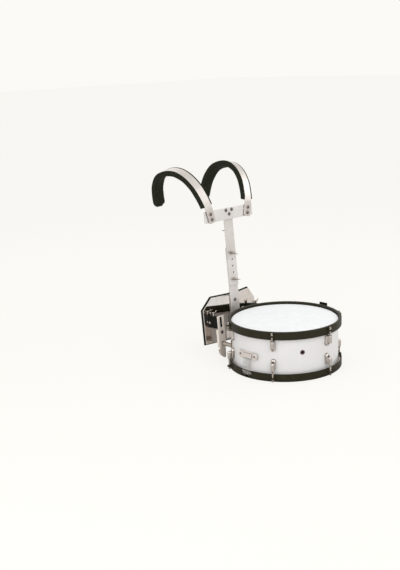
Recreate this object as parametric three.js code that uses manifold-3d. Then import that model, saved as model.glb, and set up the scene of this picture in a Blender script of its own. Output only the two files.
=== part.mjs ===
// A marching snare drum on its shoulder carrier. Millimetres, +Z up, the player looks towards -Y
// and has +X on the left hand.
import * as THREE from "three";
import { mergeVertices } from "three/addons/utils/BufferGeometryUtils.js";
import Module from "manifold-3d";

const wasm = await Module();
wasm.setup();

// Fits that every piece shares
const GAP = 0.3; // between pieces that touch
const BORE_PLAY = 0.6; // round a piece that turns or slides in a hole, on the radius
const SINK = 0.5; // how far one shape of a piece goes into the next
const PAST = 5; // how far a cutter goes past what it cuts
const DRUM_FACETS = 54;
const HOLE_FACETS = 12;
const ROD_FACETS = 8;
const NUT_FACETS = 6;
const CORNER_STEPS = 3;
const END_STEPS = 6; // round a half circle

// Drum, measured from the floor that its lower hoop stands on
const DRUM_HEIGHT = 165;
const SHELL_RADIUS = 177.5;
const SHELL_WALL = 6;
const RING_WALL = 5.5; // reinforcement ring inside each end of the shell
const RING_HEIGHT = 28;
const EDGE_WIDTH = 1.4; // outer round-over of the bearing edge
const EDGE_DEPTH = 9; // inner 45 degree cut of the bearing edge
const HEAD_RECESS = 8; // from the hoop's rim to the head
const FILM = 0.8;
const COLLAR_GAP = 0.6;
const FLESH_WIDTH = 6.2;
const FLESH_HEIGHT = 4.8;
const FLESH_DROP = 5.8; // from the film to the top of the flesh ring
const HOOP_HEIGHT = 26;
const HOOP_LIP_PLAY = 2.7; // from the shell to the bore over the flesh ring
const HOOP_BORE = SHELL_RADIUS + HOOP_LIP_PLAY;
const HOOP_EASE = 1.6;
const HOOP_SKIRT_PLAY = 0.9;
const HOOP_SKIRT_WALL = 2.6;
const HOOP_RADIUS = SHELL_RADIUS + COLLAR_GAP + FILM + FLESH_WIDTH + HOOP_SKIRT_PLAY
  + HOOP_SKIRT_WALL;

// Rods, ears and lugs, at six stations
const STATIONS = [0, 60, 120, 180, 240, 300];
const ROD_RADIUS = 3;
const ROD_END_PLAY = 2;
const EAR_DROP = 9.5; // from the hoop's rim to the ear
const EAR_THICK = 5;
const EAR_HALF = 8;
const WASHER_RADIUS = 5.4;
const ROD_RING = HOOP_RADIUS + WASHER_RADIUS;
const WASHER_THICK = 1.2;
const COLLAR_RADIUS = 4;
const COLLAR_HEIGHT = 2.2;
const SQUARE_ACROSS = 5.6;
const SQUARE_HEIGHT = 4;
const LUG_EYE_RADIUS = 8.8;
const LUG_NECK_HALF = 6.4;
const LUG_DEPTH = 10;
const LUG_BEVEL = 2;
const LUG_SLEEVE_RADIUS = 6.3;
const LUG_SLEEVE_SHARE = 0.66; // of the lug's length
const LUG_DIMPLE_RADIUS = 2.3;
const LUG_DIMPLE_DEPTH = 2.5;
const LUG_NOSE_STEPS = 3;
const BATTER_LUG_DROP = 29; // from the upper rim to the batter lugs
const BATTER_LUG_TOP = DRUM_HEIGHT - BATTER_LUG_DROP;
const SNARE_LUG_FOOT = 37;
const LUG_PARTING = 25; // between the two lugs of a station
const LUG_LENGTH = (BATTER_LUG_TOP - SNARE_LUG_FOOT - LUG_PARTING) / 2;

// Vent in the front of the shell
const VENT_ANGLE = -30;
const VENT_RISE = 10.5; // above the middle of the drum
const VENT_HEIGHT = DRUM_HEIGHT / 2 + VENT_RISE;
const VENT_HOLE = 6.6;
const VENT_FLANGE = 7.8;
const VENT_BORE = 4.2;
const VENT_FLANGE_THICK = 1.4;

// Snares under the lower head, running across the drum
const WIRE_COUNT = 12;
const WIRE_RADIUS = 0.6;
const WIRE_HEIGHT = 6.3;
const WIRE_SPREAD = 40;
const WIRE_INSET = 41.5; // from the outside of the shell to the end of the tail plates
const WIRE_HALF_LENGTH = SHELL_RADIUS - WIRE_INSET;
const WIRE_FACETS = 4;
const TAIL_LENGTH = 15;
const TAIL_THICK = 1.1;
const TAIL_EDGE = 2.5; // tail plate past the outer wires
const STRAP_WIDTH = 34;
const STRAP_THICK = 0.6;
const STRAP_CLEAR = 1.6; // outside the hoop
const GATE_HALF = 21;
const GATE_LOW = 5.6;
const GATE_HIGH = 22.5;
// Of the way from the hoop to the strap's end, where it has come in to the shell
const STRAP_BEND_SHARES = { butt: 0.53125, strainer: 0.21824 };

// Butt plate on the player's right of the shell
const BUTT_DROP = 8.5; // below the middle of the drum
const BUTT_HEIGHT = DRUM_HEIGHT / 2 - BUTT_DROP;
const BUTT_HALF = 42;
const BUTT_TALL = 24;
const BUTT_THICK = 4;
const BUTT_CLAMP_HALF = 21;
const BUTT_CLAMP_TALL = 15;
const BUTT_CLAMP_THICK = 3.5;
const BUTT_SCREW_OFFSET = 31; // from the middle to a screw
const BUTT_SCREW_RADIUS = 3.2;
const BUTT_SCREW_HEAD = 2;
const BUTT_STRAP_RISE = 3.5; // above the plate's middle
const BUTT_STRAP_TOP = BUTT_HEIGHT + BUTT_STRAP_RISE;

// Strainer on the player's left of the shell
const STRAINER_TALL = 72;
const STRAINER_DROP = 2.5; // its middle, below the middle of the drum
const STRAINER_LOW = (DRUM_HEIGHT - STRAINER_TALL) / 2 - STRAINER_DROP;
const STRAINER_HIGH = STRAINER_LOW + STRAINER_TALL;
const STRAINER_HALF = 20;
const STRAINER_THICK = 4;
const CHEEK_THICK = 3;
const CHEEK_REACH = 17; // out from the base plate
const CHEEK_RISE = 18; // of the cheeks' feet above the base's foot
const CHEEK_LOW = STRAINER_LOW + CHEEK_RISE;
const PIVOT_DROP = 13; // from the base's top
const PIVOT_HEIGHT = STRAINER_HIGH - PIVOT_DROP;
const PIVOT_REACH = 11; // out from the base plate
const PIVOT_RADIUS = 2.8;
const SLIDE_THICK = 11;
const SLIDE_TALL = 40;
const SLIDE_DROP = 17; // from the pivot
const SLIDE_HIGH = PIVOT_HEIGHT - SLIDE_DROP;
const SLIDE_LOW = SLIDE_HIGH - SLIDE_TALL;
const SLIDE_CLEAR = 1.2; // from the base plate
const KNOB_RISE = 10; // above the slide's foot
const KNOB_HEIGHT = SLIDE_LOW + KNOB_RISE;
const KNOB_RADIUS = 8;
const KNOB_THICK = 10;
const KNOB_STEM = 2.6;
const KNOB_LOBES = 10;
const KNOB_GROOVE = 0.6;
const STRAP_SLOT_RISE = 17; // of the slot's top above the slide's foot
const STRAP_SLOT_TOP = SLIDE_LOW + STRAP_SLOT_RISE;
const STRAP_END_PLAY = 6; // under the slot's top
const STRAP_TOP = STRAP_SLOT_TOP - STRAP_END_PLAY;
const LEVER_PAST_RIM = 3;
const LEVER_TOP = DRUM_HEIGHT + LEVER_PAST_RIM;
const LEVER_THICK = 5;
const LEVER_ROOT_RADIUS = 7.5;
const LEVER_FLARE = 5; // outward lean of the handle at its tip
const LEVER_EASE = 1;

// Carrier frame: upright bars lean back towards the player
const LEAN = 5; // degrees
const FACE_CLEAR = 22.7; // from the rods' sleeves to the upright's front face
const FACE_OFFSET = ROD_RING + LUG_SLEEVE_RADIUS + FACE_CLEAR;
const FACE_HEIGHT = 150; // where that distance is measured
const BAR_HALF = 20;
const BAR_THICK = 5;
const HOLE_PITCH = 23.2;
const HOLE_COUNT = 5;
const HOLE_FIRST = 107.4;
const UPPER_END = 21.4; // of the upper bar, below the first hole
const UPPER_FOOT = HOLE_FIRST - UPPER_END;
const LOWER_FOOT = -72;
const LOWER_END = 18.8; // of the lower bar, above the last hole
const LOWER_TOP = HOLE_FIRST + (HOLE_COUNT - 1) * HOLE_PITCH + LOWER_END;
const HOLE_RADIUS = 3.3;
const SLOT_HALF = 3.6;
const SLOT_END = 16.4; // of the slot, below the first hole
const SLOT_FOOT = HOLE_FIRST - SLOT_END;
const BOLT_RADIUS = 2.9;
const BOLT_HEAD_RADIUS = 6.5;
const BOLT_HEAD_THICK = 2.6;
const BOLT_REACH = 20; // in front of the upper bar
const PLATE_SCREW_EDGE = 22; // from the belly plate's top to the upper screw
const PLATE_SCREW_PITCH = 78;
const SCREW_RADIUS = 6;
const SCREW_HEAD = 2.6;

// Wing nuts and wing screws
const WING_HUB_RADIUS = 5.2;
const WING_HUB_LENGTH = 12;
const WING_SPAN = 17; // from the axis to a wing's tip
const WING_RISE = 9;
const WING_THICK = 2.4;
const WING_ROOT_SHARE = 0.4; // of the hub's length
const WING_REST_TURN = 14; // degrees, and twice that on the upper nut
const REAR_SCREW_SHARE = 0.606; // of the way from the lower bar's top to the crossbar
const REAR_SCREW_DEPTH = 3.6;

// Crossbar and shoulder hooks
const CROSS_HALF = 114;
const CROSS_FOOT = 318;
const CROSS_TALL = 40;
const CROSS_TOP = CROSS_FOOT + CROSS_TALL;
const CROSS_OVER = 4; // above the upper bar's top
const UPPER_TOP = CROSS_TOP - CROSS_OVER;
const REAR_SCREW_HEIGHT = LOWER_TOP + (CROSS_FOOT - LOWER_TOP) * REAR_SCREW_SHARE;
const CROSS_CORNER = 4;
const CENTRE_BOLT_HALF = 13.6; // from the middle to each of the two upper bolts
const CENTRE_BOLT_EDGE = 8; // from the crossbar's top to the upper bolts
const CENTRE_BOLT_DROP = 14; // from the upper bolts to the lower one
const CENTRE_BOLT_HIGH = CROSS_TOP - CENTRE_BOLT_EDGE;
const CENTRE_BOLT_LOW = CENTRE_BOLT_HIGH - CENTRE_BOLT_DROP;
const HOOK_SPREAD = 88;
const HOOK_HEIGHT = (CROSS_FOOT + CROSS_TOP) / 2;
const HOOK_TILT = 13.3; // degrees, outwards
const HOOK_SPLAY = 2.4; // degrees, outwards towards the back
const HOOK_WIDTH = 30;
const HOOK_THICK = 4;
const HOOK_BOLT_HALF = 9.5; // from the middle to each bolt
const HOOK_REACH = 240; // back from the bolts
const HOOK_CREST = 171; // above the bolts
// Of the reach and of the crest, from the lower end over the shoulder to the tip behind it
const HOOK_ROUTE_SHARES = [
  [0, -0.129], [0, 0], [0, 0.129], [0.006, 0.222], [0.033, 0.374], [0.1, 0.608], [0.225, 0.83],
  [0.392, 0.971], [0.583, 1], [0.783, 0.924], [0.917, 0.725], [0.979, 0.491], [1, 0.304],
  [0.995, 0.24],
];
const HOOK_STEPS = 30;
const BAR_LAST_STEP = HOOK_STEPS - 1; // where the bar ends inside its pad
const PAD_WIDTH = 42;
const PAD_BACKING = 17;
const PAD_START_SHARE = 0.133; // of the hook's length
const PAD_FIRST_STEP = Math.round(HOOK_STEPS * PAD_START_SHARE);
const PAD_BEVEL = 4.6;
const PAD_END_FACETS = 12; // on the round end behind the shoulder

// Belly plate and pad
const PLATE_HALF = 127;
const PLATE_FLAT_HALF = 24;
const PLATE_SWEEP = 0.246; // back for each millimetre outwards past the flat
const PLATE_THICK = 2.5;
const PLATE_FOOT = -103;
const PLATE_TOP = 56;
const PLATE_SCREW_HIGH = PLATE_TOP - PLATE_SCREW_EDGE;
const PLATE_SCREW_LOW = PLATE_SCREW_HIGH - PLATE_SCREW_PITCH;
const PLATE_CHAMFER_HALF = 91;
const PLATE_CHAMFER_FOOT = 16;
const BELLY_MARGIN = 4;
const BELLY_THICK = 14;
const BELLY_CROWN = 4;
const BELLY_BEVEL = 5;
const BELLY_STEPS = 10;

// Clamp blocks, hangers and latches, one set each side
const HANGER_SPREAD = 104;
const HANGER_HALF = 15;
const HANGER_FRONT = -24; // in front of the upright's face
const HANGER_DEPTH = 13;
const HANGER_WALL = 3;
const HANGER_TOP = 0;
const HANGER_TAIL = 15.5; // from the stud's axis to the foot
const HANGER_SLOT_HALF = 4.8;
const HANGER_SLOT_TOP = -4;
const HANGER_SLOT_FOOT = -40;
const HANGER_SCREW = -57;
const BLOCK_HALF = 8;
const BLOCK_TOP = -4;
const BLOCK_FOOT = -45;
const BLOCK_KEY_DROP = 1; // key's face below the hanger's face
const CLAMP_SCREW_DEPTH = 34; // behind the hanger's front
const CLAMP_SCREW_STEM = 14;
const CLAMP_SCREW_RADIUS = 3;
const SIDE_BOLT_HEIGHT = -28;
const SIDE_BOLT_DEPTH = 36; // behind the hanger's back
const LATCH_HALF = 15;
const LATCH_TIP_HALF = 6;
const LATCH_THICK = 4;
const LATCH_BARREL = 4.4;
const LATCH_PIN = 2.6;
const LATCH_DROP = 47; // from the pin to the tip
const LATCH_SHOULDER_SHARE = 0.66; // of the drop, where the sides begin to taper
const LATCH_SADDLE = 3.8; // from the pin down to the edge that holds the stud in
const LATCH_SADDLE_PLAY = 1;
const LATCH_PIN_DROP = 5.5; // from the stud's axis
const LATCH_PIN_DEPTH = 8;
const LATCH_SIDE_PLAY = 0.6;
const LATCH_STEP = 14; // from the pin down to where the tongue widens
const LATCH_NOSE = 4;
const LATCH_DRAFT = 4; // of the inner edge and of the flange, from the step downwards

// Studs on the shell that the hangers carry
const STUD_HEIGHT = 56;
const STUD_RADIUS = 7;
const STUD_NECK = 4.6;
const STUD_HEAD = 8;
const STUD_HEAD_THICK = 4;
const STUD_FOOT_HALF = 17;
const STUD_FOOT_TALL = 42;
const STUD_FOOT_THICK = 5;
const STUD_FOOT_REACH = 8;

// The stud's axis in the carrier's frame, with what hangs on it
const leanAngle = (LEAN * Math.PI) / 180;
const NOTCH_TOP = (STUD_HEIGHT - FACE_HEIGHT + HANGER_FRONT * Math.sin(leanAngle))
  / Math.cos(leanAngle);
const HANGER_FOOT = NOTCH_TOP - HANGER_TAIL;
const LATCH_PIN_HEIGHT = NOTCH_TOP - LATCH_PIN_DROP;

const material = (colour, roughness, metalness) => ({ color: colour, roughness, metalness });
const WHITE_SHELL = material(0xe4e4e6, 0.25, 0);
const COATED_FILM = material(0xf6f7f7, 0.75, 0);
const BLACK_METAL = material(0x1d1d17, 0.4, 0.2);
const CHROME = material(0xb9b5b0, 0.16, 1);
const DULL_CHROME = material(0xa9a6a0, 0.3, 1);
const ALUMINIUM = material(0xcfcac5, 0.42, 0.9);
const MIRROR_STEEL = material(0xc4bfb8, 0.1, 1);
const BLACK_FOAM = material(0x1b1c16, 0.95, 0);
const BLACK_PLASTIC = material(0x161712, 0.55, 0);
const DARK_RUBBER = material(0x2b2426, 0.7, 0);
const STEEL_WIRE = material(0x9c9c9c, 0.35, 1);
const STRAP_FILM = material(0xd9d9d4, 0.5, 0);

const group = new THREE.Group();
const X_AXIS = new THREE.Vector3(1, 0, 0);
const Y_AXIS = new THREE.Vector3(0, 1, 0);
const Z_AXIS = new THREE.Vector3(0, 0, 1);
const radians = THREE.MathUtils.degToRad;

// A geometry, moved by the matrices in turn, as a closed solid.
function solid(geometry, ...matrices) {
  const bare = geometry.index ? geometry.toNonIndexed() : geometry.clone();
  for (const name of Object.keys(bare.attributes)) {
    if (name !== "position") bare.deleteAttribute(name);
  }
  matrices.forEach((matrix) => bare.applyMatrix4(matrix));
  const merged = mergeVertices(bare, 1e-4);
  const index = merged.index.array;
  const kept = [];
  for (let i = 0; i < index.length; i += 3) {
    const [a, b, c] = [index[i], index[i + 1], index[i + 2]];
    if (a !== b && b !== c && c !== a) kept.push(a, b, c);
  }
  const vertProperties = new Float32Array(merged.attributes.position.array);
  const make = (triVerts) => new wasm.Manifold(new wasm.Mesh({
    numProp: 3, vertProperties, triVerts: new Uint32Array(triVerts),
  }));
  const made = make(kept);
  return made.volume() > 0 ? made : make(kept.reverse());
}

const join = (first, ...others) => others.reduce((sum, other) => sum.add(other), first);
const cut = (first, ...others) => others.reduce((rest, other) => rest.subtract(other), first);

// Names a solid as one node of the part.
function addPiece(name, made, look) {
  const mesh = made.getMesh();
  const stride = mesh.numProp;
  const points = new Float32Array(mesh.numVert * 3);
  for (let i = 0; i < mesh.numVert; i++) {
    points.set(mesh.vertProperties.subarray(i * stride, i * stride + 3), i * 3);
  }
  const geometry = new THREE.BufferGeometry();
  geometry.setAttribute("position", new THREE.BufferAttribute(points, 3));
  geometry.setIndex(new THREE.BufferAttribute(mesh.triVerts, 1));
  geometry.computeVertexNormals();
  const piece = new THREE.Mesh(geometry, new THREE.MeshStandardMaterial(look));
  piece.name = name;
  group.add(piece);
}

const move = (x, y, z) => new THREE.Matrix4().makeTranslation(x, y, z);
const turn = (axis, degrees) => new THREE.Matrix4().makeRotationAxis(axis, radians(degrees));

// A box between two limits on each axis.
function span(xs, ys, zs, ...matrices) {
  const [w, d, h] = [xs, ys, zs].map(([low, high]) => high - low);
  const middle = [xs, ys, zs].map(([low, high]) => (low + high) / 2);
  return solid(new THREE.BoxGeometry(w, d, h), move(...middle), ...matrices);
}

// A cylinder along an axis of the piece, between two places on it.
function round(axis, radius, from, to, at, facets, ...matrices) {
  const made = new THREE.CylinderGeometry(radius, radius, to - from, facets);
  const [u, v] = at;
  const middle = (from + to) / 2;
  const places = {
    x: [turn(Z_AXIS, -90), move(middle, u, v)],
    y: [move(u, middle, v)],
    z: [turn(X_AXIS, 90), move(u, v, middle)],
  };
  return solid(made, ...places[axis], ...matrices);
}

// A ring or disc about the drum's axis, from its [radius, height] profile.
function revolve(profile, facets, ...matrices) {
  const points = profile.map(([radius, height]) => new THREE.Vector2(radius, height));
  if (profile[0][0] > 0) points.push(points[0].clone());
  return solid(new THREE.LatheGeometry(points, facets), turn(X_AXIS, 90), ...matrices);
}

// An outline in two axes, drawn out along the third, centred on it.
function sheet(outline, thickness, ...matrices) {
  const shape = new THREE.Shape(outline.map(([u, v]) => new THREE.Vector2(u, v)));
  const made = new THREE.ExtrudeGeometry(shape, { depth: thickness, bevelEnabled: false });
  return solid(made, move(0, 0, -thickness / 2), ...matrices);
}

// The same with rounded edges that stay inside the outline and the thickness.
function softSheet(outline, thickness, bevel, steps, ...matrices) {
  const shape = new THREE.Shape(outline.map(([u, v]) => new THREE.Vector2(u, v)));
  const made = new THREE.ExtrudeGeometry(shape, {
    depth: thickness - 2 * bevel,
    bevelThickness: bevel,
    bevelSize: bevel,
    bevelOffset: -bevel,
    bevelSegments: steps,
  });
  return solid(made, move(0, 0, bevel - thickness / 2), ...matrices);
}

// Points on an arc in the plane of an outline.
function arc(centre, radius, from, to, steps) {
  return Array.from({ length: steps + 1 }, (_, i) => {
    const angle = radians(from + ((to - from) * i) / steps);
    return [centre[0] + radius * Math.cos(angle), centre[1] + radius * Math.sin(angle)];
  });
}

// The frame at an angle round the drum: X along the shell, Y outwards, Z up. Zero is the front.
function station(degrees) {
  const angle = radians(degrees);
  const out = new THREE.Vector3(Math.sin(angle), -Math.cos(angle), 0);
  const along = new THREE.Vector3().crossVectors(out, Z_AXIS);
  return new THREE.Matrix4().makeBasis(along, out, Z_AXIS);
}

// The carrier's frame: X across, Y back through the upright from its front face, Z up along it.
const carrierFrame = turn(X_AXIS, -LEAN).premultiply(move(0, FACE_OFFSET, FACE_HEIGHT));

const batterTop = DRUM_HEIGHT - HEAD_RECESS;
const fleshTop = batterTop - FLESH_DROP;
const collarInner = SHELL_RADIUS + COLLAR_GAP;
const collarOuter = collarInner + FILM;
const fleshOuter = collarOuter + FLESH_WIDTH;
const skirtInner = fleshOuter + HOOP_SKIRT_PLAY;
const earTop = DRUM_HEIGHT - EAR_DROP;
const earFoot = earTop - EAR_THICK;

// Turns a piece of the batter side over to the snare side.
const flipped = ([radius, height]) => [radius, DRUM_HEIGHT - height];

function shell() {
  const top = batterTop - FILM - GAP;
  const inner = SHELL_RADIUS - SHELL_WALL;
  const ring = inner - RING_WALL;
  const peak = SHELL_RADIUS - EDGE_WIDTH;
  const slope = peak - ring;
  const half = [
    [SHELL_RADIUS, top - EDGE_WIDTH],
    [peak, top],
    [ring, top - Math.min(EDGE_DEPTH, slope)],
    [ring, top - RING_HEIGHT],
    [inner, top - RING_HEIGHT - RING_WALL],
  ];
  const lower = half.map(flipped).reverse();
  const wall = revolve([...half, ...lower], DRUM_FACETS);
  const vent = round("y", VENT_HOLE, ring, SHELL_RADIUS + PAST, [0, VENT_HEIGHT], HOLE_FACETS,
    station(VENT_ANGLE));
  addPiece("shell", cut(wall, vent), WHITE_SHELL);
}

function heads() {
  const profile = [
    [0, batterTop],
    [collarInner - FILM, batterTop],
    [collarOuter, batterTop - 2 * FILM - GAP],
    [collarOuter, fleshTop],
    [fleshOuter, fleshTop],
    [fleshOuter, fleshTop - FLESH_HEIGHT],
    [collarInner, fleshTop - FLESH_HEIGHT],
    [collarInner, batterTop - 2 * FILM - GAP],
    [collarInner - 2 * FILM, batterTop - FILM],
    [0, batterTop - FILM],
  ];
  addPiece("batter_head", revolve(profile, DRUM_FACETS), COATED_FILM);
  addPiece("snare_side_head", revolve(profile.map(flipped), DRUM_FACETS), COATED_FILM);
}

// One counterhoop for the batter side, with an ear at each station.
function hoop(place) {
  const lipFoot = fleshTop + GAP;
  const ring = revolve([
    [HOOP_BORE, lipFoot],
    [HOOP_BORE, DRUM_HEIGHT - HOOP_EASE],
    [HOOP_BORE + HOOP_EASE, DRUM_HEIGHT],
    [HOOP_RADIUS - HOOP_EASE, DRUM_HEIGHT],
    [HOOP_RADIUS, DRUM_HEIGHT - HOOP_EASE],
    [HOOP_RADIUS, DRUM_HEIGHT - HOOP_HEIGHT],
    [skirtInner, DRUM_HEIGHT - HOOP_HEIGHT],
    [skirtInner, lipFoot],
  ].map(place), DRUM_FACETS);
  const level = place([0, (earTop + earFoot) / 2])[1];
  const lift = move(0, 0, level);
  const ears = STATIONS.map((angle) => {
    const outline = [
      [EAR_HALF, HOOP_RADIUS - 2 * SINK],
      ...arc([0, ROD_RING - SINK], EAR_HALF, 0, 180, END_STEPS),
      [-EAR_HALF, HOOP_RADIUS - 2 * SINK],
    ];
    return sheet(outline, EAR_THICK, lift, station(angle));
  });
  const holes = STATIONS.map((angle) => round("z", ROD_RADIUS + BORE_PLAY,
    level - EAR_THICK, level + EAR_THICK, [0, ROD_RING], HOLE_FACETS, station(angle)));
  return cut(join(ring, ...ears), ...holes);
}

function hoops() {
  addPiece("batter_hoop", hoop((point) => point), BLACK_METAL);
  const gates = [-90, 90].map((angle) => span([-GATE_HALF, GATE_HALF],
    [HOOP_BORE - PAST, HOOP_RADIUS + PAST], [GATE_LOW, GATE_HIGH], station(angle)));
  addPiece("snare_side_hoop", cut(hoop(flipped), ...gates), BLACK_METAL);
}

// One lug standing with its rod sleeve up, from its foot.
function lugBody(place) {
  const eye = [0, LUG_EYE_RADIUS];
  const outline = [
    ...arc(eye, LUG_EYE_RADIUS, -180, 0, END_STEPS),
    [LUG_NECK_HALF, LUG_LENGTH - LUG_BEVEL],
    [LUG_NECK_HALF - LUG_BEVEL, LUG_LENGTH],
    [LUG_BEVEL - LUG_NECK_HALF, LUG_LENGTH],
    [-LUG_NECK_HALF, LUG_LENGTH - LUG_BEVEL],
  ];
  const stand = turn(X_AXIS, 90);
  const out = move(0, SHELL_RADIUS + GAP + LUG_DEPTH / 2, 0);
  const pad = softSheet(outline, LUG_DEPTH, LUG_BEVEL, 1, stand, out);
  const sleeveFoot = LUG_LENGTH * (1 - LUG_SLEEVE_SHARE);
  const sleeve = round("z", LUG_SLEEVE_RADIUS, sleeveFoot, LUG_LENGTH, [0, ROD_RING], HOLE_FACETS);
  const nose = solid(new THREE.SphereGeometry(LUG_SLEEVE_RADIUS, HOLE_FACETS, LUG_NOSE_STEPS),
    turn(X_AXIS, 90), move(0, ROD_RING, sleeveFoot));
  const web = span([-LUG_SLEEVE_RADIUS + LUG_BEVEL, LUG_SLEEVE_RADIUS - LUG_BEVEL],
    [SHELL_RADIUS + LUG_DEPTH - LUG_BEVEL, ROD_RING], [sleeveFoot, LUG_LENGTH - SINK]);
  const bore = round("z", ROD_RADIUS + BORE_PLAY, sleeveFoot, LUG_LENGTH + PAST,
    [0, ROD_RING], HOLE_FACETS);
  const front = SHELL_RADIUS + GAP + LUG_DEPTH;
  const dimple = round("y", LUG_DIMPLE_RADIUS, front - LUG_DIMPLE_DEPTH, front + PAST,
    eye, ROD_FACETS);
  return cut(join(pad, sleeve, nose, web), bore, dimple).transform(place.elements);
}

// One tension rod hanging from its washer, whose underside is at zero.
function rodBody(length, place) {
  const shank = round("z", ROD_RADIUS, -length, WASHER_THICK, [0, ROD_RING], ROD_FACETS);
  const washer = round("z", WASHER_RADIUS, 0, WASHER_THICK, [0, ROD_RING], HOLE_FACETS);
  const collarTop = WASHER_THICK + COLLAR_HEIGHT;
  const collar = round("z", COLLAR_RADIUS, WASHER_THICK - SINK, collarTop, [0, ROD_RING], ROD_FACETS);
  const square = span([-SQUARE_ACROSS / 2, SQUARE_ACROSS / 2],
    [ROD_RING - SQUARE_ACROSS / 2, ROD_RING + SQUARE_ACROSS / 2],
    [collarTop - SINK, collarTop + SQUARE_HEIGHT]);
  return join(shank, washer, collar, square).transform(place.elements);
}

function lugsAndRods() {
  const bored = LUG_LENGTH * LUG_SLEEVE_SHARE - ROD_END_PLAY;
  const batterRod = earTop + GAP - BATTER_LUG_TOP + bored;
  const snareEar = DRUM_HEIGHT - earTop;
  const snareRod = SNARE_LUG_FOOT - snareEar + GAP + bored;
  const over = turn(Y_AXIS, 180);
  STATIONS.forEach((angle, i) => {
    const place = station(angle);
    const at = (height) => place.clone().multiply(move(0, 0, height));
    addPiece(`lug_batter_${i + 1}`, lugBody(at(BATTER_LUG_TOP - LUG_LENGTH)), CHROME);
    addPiece(`lug_snare_${i + 1}`, lugBody(at(SNARE_LUG_FOOT + LUG_LENGTH).multiply(over)), CHROME);
    addPiece(`rod_batter_${i + 1}`, rodBody(batterRod, at(earTop + GAP)), DULL_CHROME);
    addPiece(`rod_snare_${i + 1}`, rodBody(snareRod, at(snareEar - GAP).multiply(over)), DULL_CHROME);
  });
}

function ventGrommet() {
  const inside = SHELL_RADIUS - SHELL_WALL - GAP - VENT_FLANGE_THICK;
  const outside = SHELL_RADIUS + GAP + VENT_FLANGE_THICK;
  const stem = VENT_HOLE - GAP;
  const profile = [
    [VENT_BORE, inside],
    [VENT_FLANGE, inside],
    [VENT_FLANGE, inside + VENT_FLANGE_THICK - GAP],
    [stem, inside + VENT_FLANGE_THICK],
    [stem, outside - VENT_FLANGE_THICK],
    [VENT_FLANGE, outside - VENT_FLANGE_THICK],
    [VENT_FLANGE - VENT_FLANGE_THICK / 2, outside],
    [VENT_BORE, outside],
  ];
  const place = station(VENT_ANGLE).multiply(move(0, 0, VENT_HEIGHT));
  const out = turn(X_AXIS, -90);
  addPiece("vent_grommet", revolve(profile, HOLE_FACETS, out, place), DARK_RUBBER);
}

// A thin ribbon along a route of [distance out, height] points, in a station's plane.
function ribbon(route, thickness, width, place) {
  const half = thickness / 2;
  const sides = [half, -half].map((offset) => route.map((point, i) => {
    const before = route[Math.max(i - 1, 0)];
    const after = route[Math.min(i + 1, route.length - 1)];
    const along = new THREE.Vector2(after[0] - before[0], after[1] - before[1]).normalize();
    return [point[0] - along.y * offset, point[1] + along.x * offset];
  }));
  const outline = [...sides[0], ...sides[1].reverse()];
  const upright = new THREE.Matrix4().makeBasis(Y_AXIS, Z_AXIS, X_AXIS);
  return sheet(outline, width, upright, place);
}

function snares() {
  const tailHalf = WIRE_SPREAD / 2 + TAIL_EDGE;
  const tail = (angle) => span([-tailHalf, tailHalf], [WIRE_HALF_LENGTH - TAIL_LENGTH, WIRE_HALF_LENGTH],
    [WIRE_HEIGHT - TAIL_THICK, WIRE_HEIGHT], station(angle));
  const wires = Array.from({ length: WIRE_COUNT }, (_, i) => {
    const y = WIRE_SPREAD * (i / (WIRE_COUNT - 1) - 1 / 2);
    return round("x", WIRE_RADIUS, TAIL_EDGE - WIRE_HALF_LENGTH, WIRE_HALF_LENGTH - TAIL_EDGE,
      [y, WIRE_HEIGHT], WIRE_FACETS);
  });
  addPiece("snare_wires", join(tail(90), tail(-90), ...wires), STEEL_WIRE);
}

// The strap's way out from under the head, through the gate and up the shell.
function strapRoute(topReach, topHeight, bendShare) {
  const under = WIRE_HEIGHT + WIRE_RADIUS + (GAP + STRAP_THICK) / 2;
  const outside = HOOP_RADIUS + STRAP_CLEAR;
  const gateMiddle = (GATE_LOW + GATE_HIGH) / 2;
  const clear = HOOP_HEIGHT + GAP;
  return [
    [WIRE_HALF_LENGTH - TAIL_LENGTH, under],
    [collarOuter + GAP, under],
    [skirtInner, under + 2 * STRAP_THICK],
    [outside, gateMiddle],
    [outside, clear],
    [topReach, clear + (topHeight - clear) * bendShare],
    [topReach, topHeight],
  ];
}

function butt() {
  const place = station(-90);
  const back = SHELL_RADIUS + GAP;
  const front = back + BUTT_THICK;
  const corner = BUTT_TALL / 2;
  const outline = [
    ...arc([BUTT_HALF - corner, 0], corner, -90, 90, END_STEPS),
    ...arc([corner - BUTT_HALF, 0], corner, 90, 270, END_STEPS),
  ];
  const stand = turn(X_AXIS, 90);
  const base = sheet(outline, BUTT_THICK + 2 * SINK, stand, move(0, front - BUTT_THICK / 2, BUTT_HEIGHT));
  const hollow = round("z", SHELL_RADIUS + GAP, 0, DRUM_HEIGHT, [0, 0], DRUM_FACETS);
  const slot = STRAP_THICK + 2 * GAP;
  const clampBack = front + slot;
  const clamp = span([-BUTT_CLAMP_HALF, BUTT_CLAMP_HALF], [front, clampBack + BUTT_CLAMP_THICK],
    [BUTT_HEIGHT - BUTT_CLAMP_TALL / 2, BUTT_HEIGHT + BUTT_CLAMP_TALL / 2]);
  const slotHalf = STRAP_WIDTH / 2 + GAP;
  const channel = span([-slotHalf, slotHalf], [front, clampBack],
    [BUTT_HEIGHT - BUTT_TALL, BUTT_STRAP_TOP + BUTT_SCREW_HEAD]);
  const screws = [-1, 1].map((side) => round("y", BUTT_SCREW_RADIUS, front - SINK,
    front + BUTT_SCREW_HEAD, [side * BUTT_SCREW_OFFSET, BUTT_HEIGHT], ROD_FACETS));
  const made = cut(join(base, clamp, ...screws), channel, hollow);
  addPiece("butt_plate", made.transform(place.elements), CHROME);
  const route = strapRoute(front + slot / 2, BUTT_STRAP_TOP, STRAP_BEND_SHARES.butt);
  addPiece("strap_butt", ribbon(route, STRAP_THICK, STRAP_WIDTH, place), STRAP_FILM);
}

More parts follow.
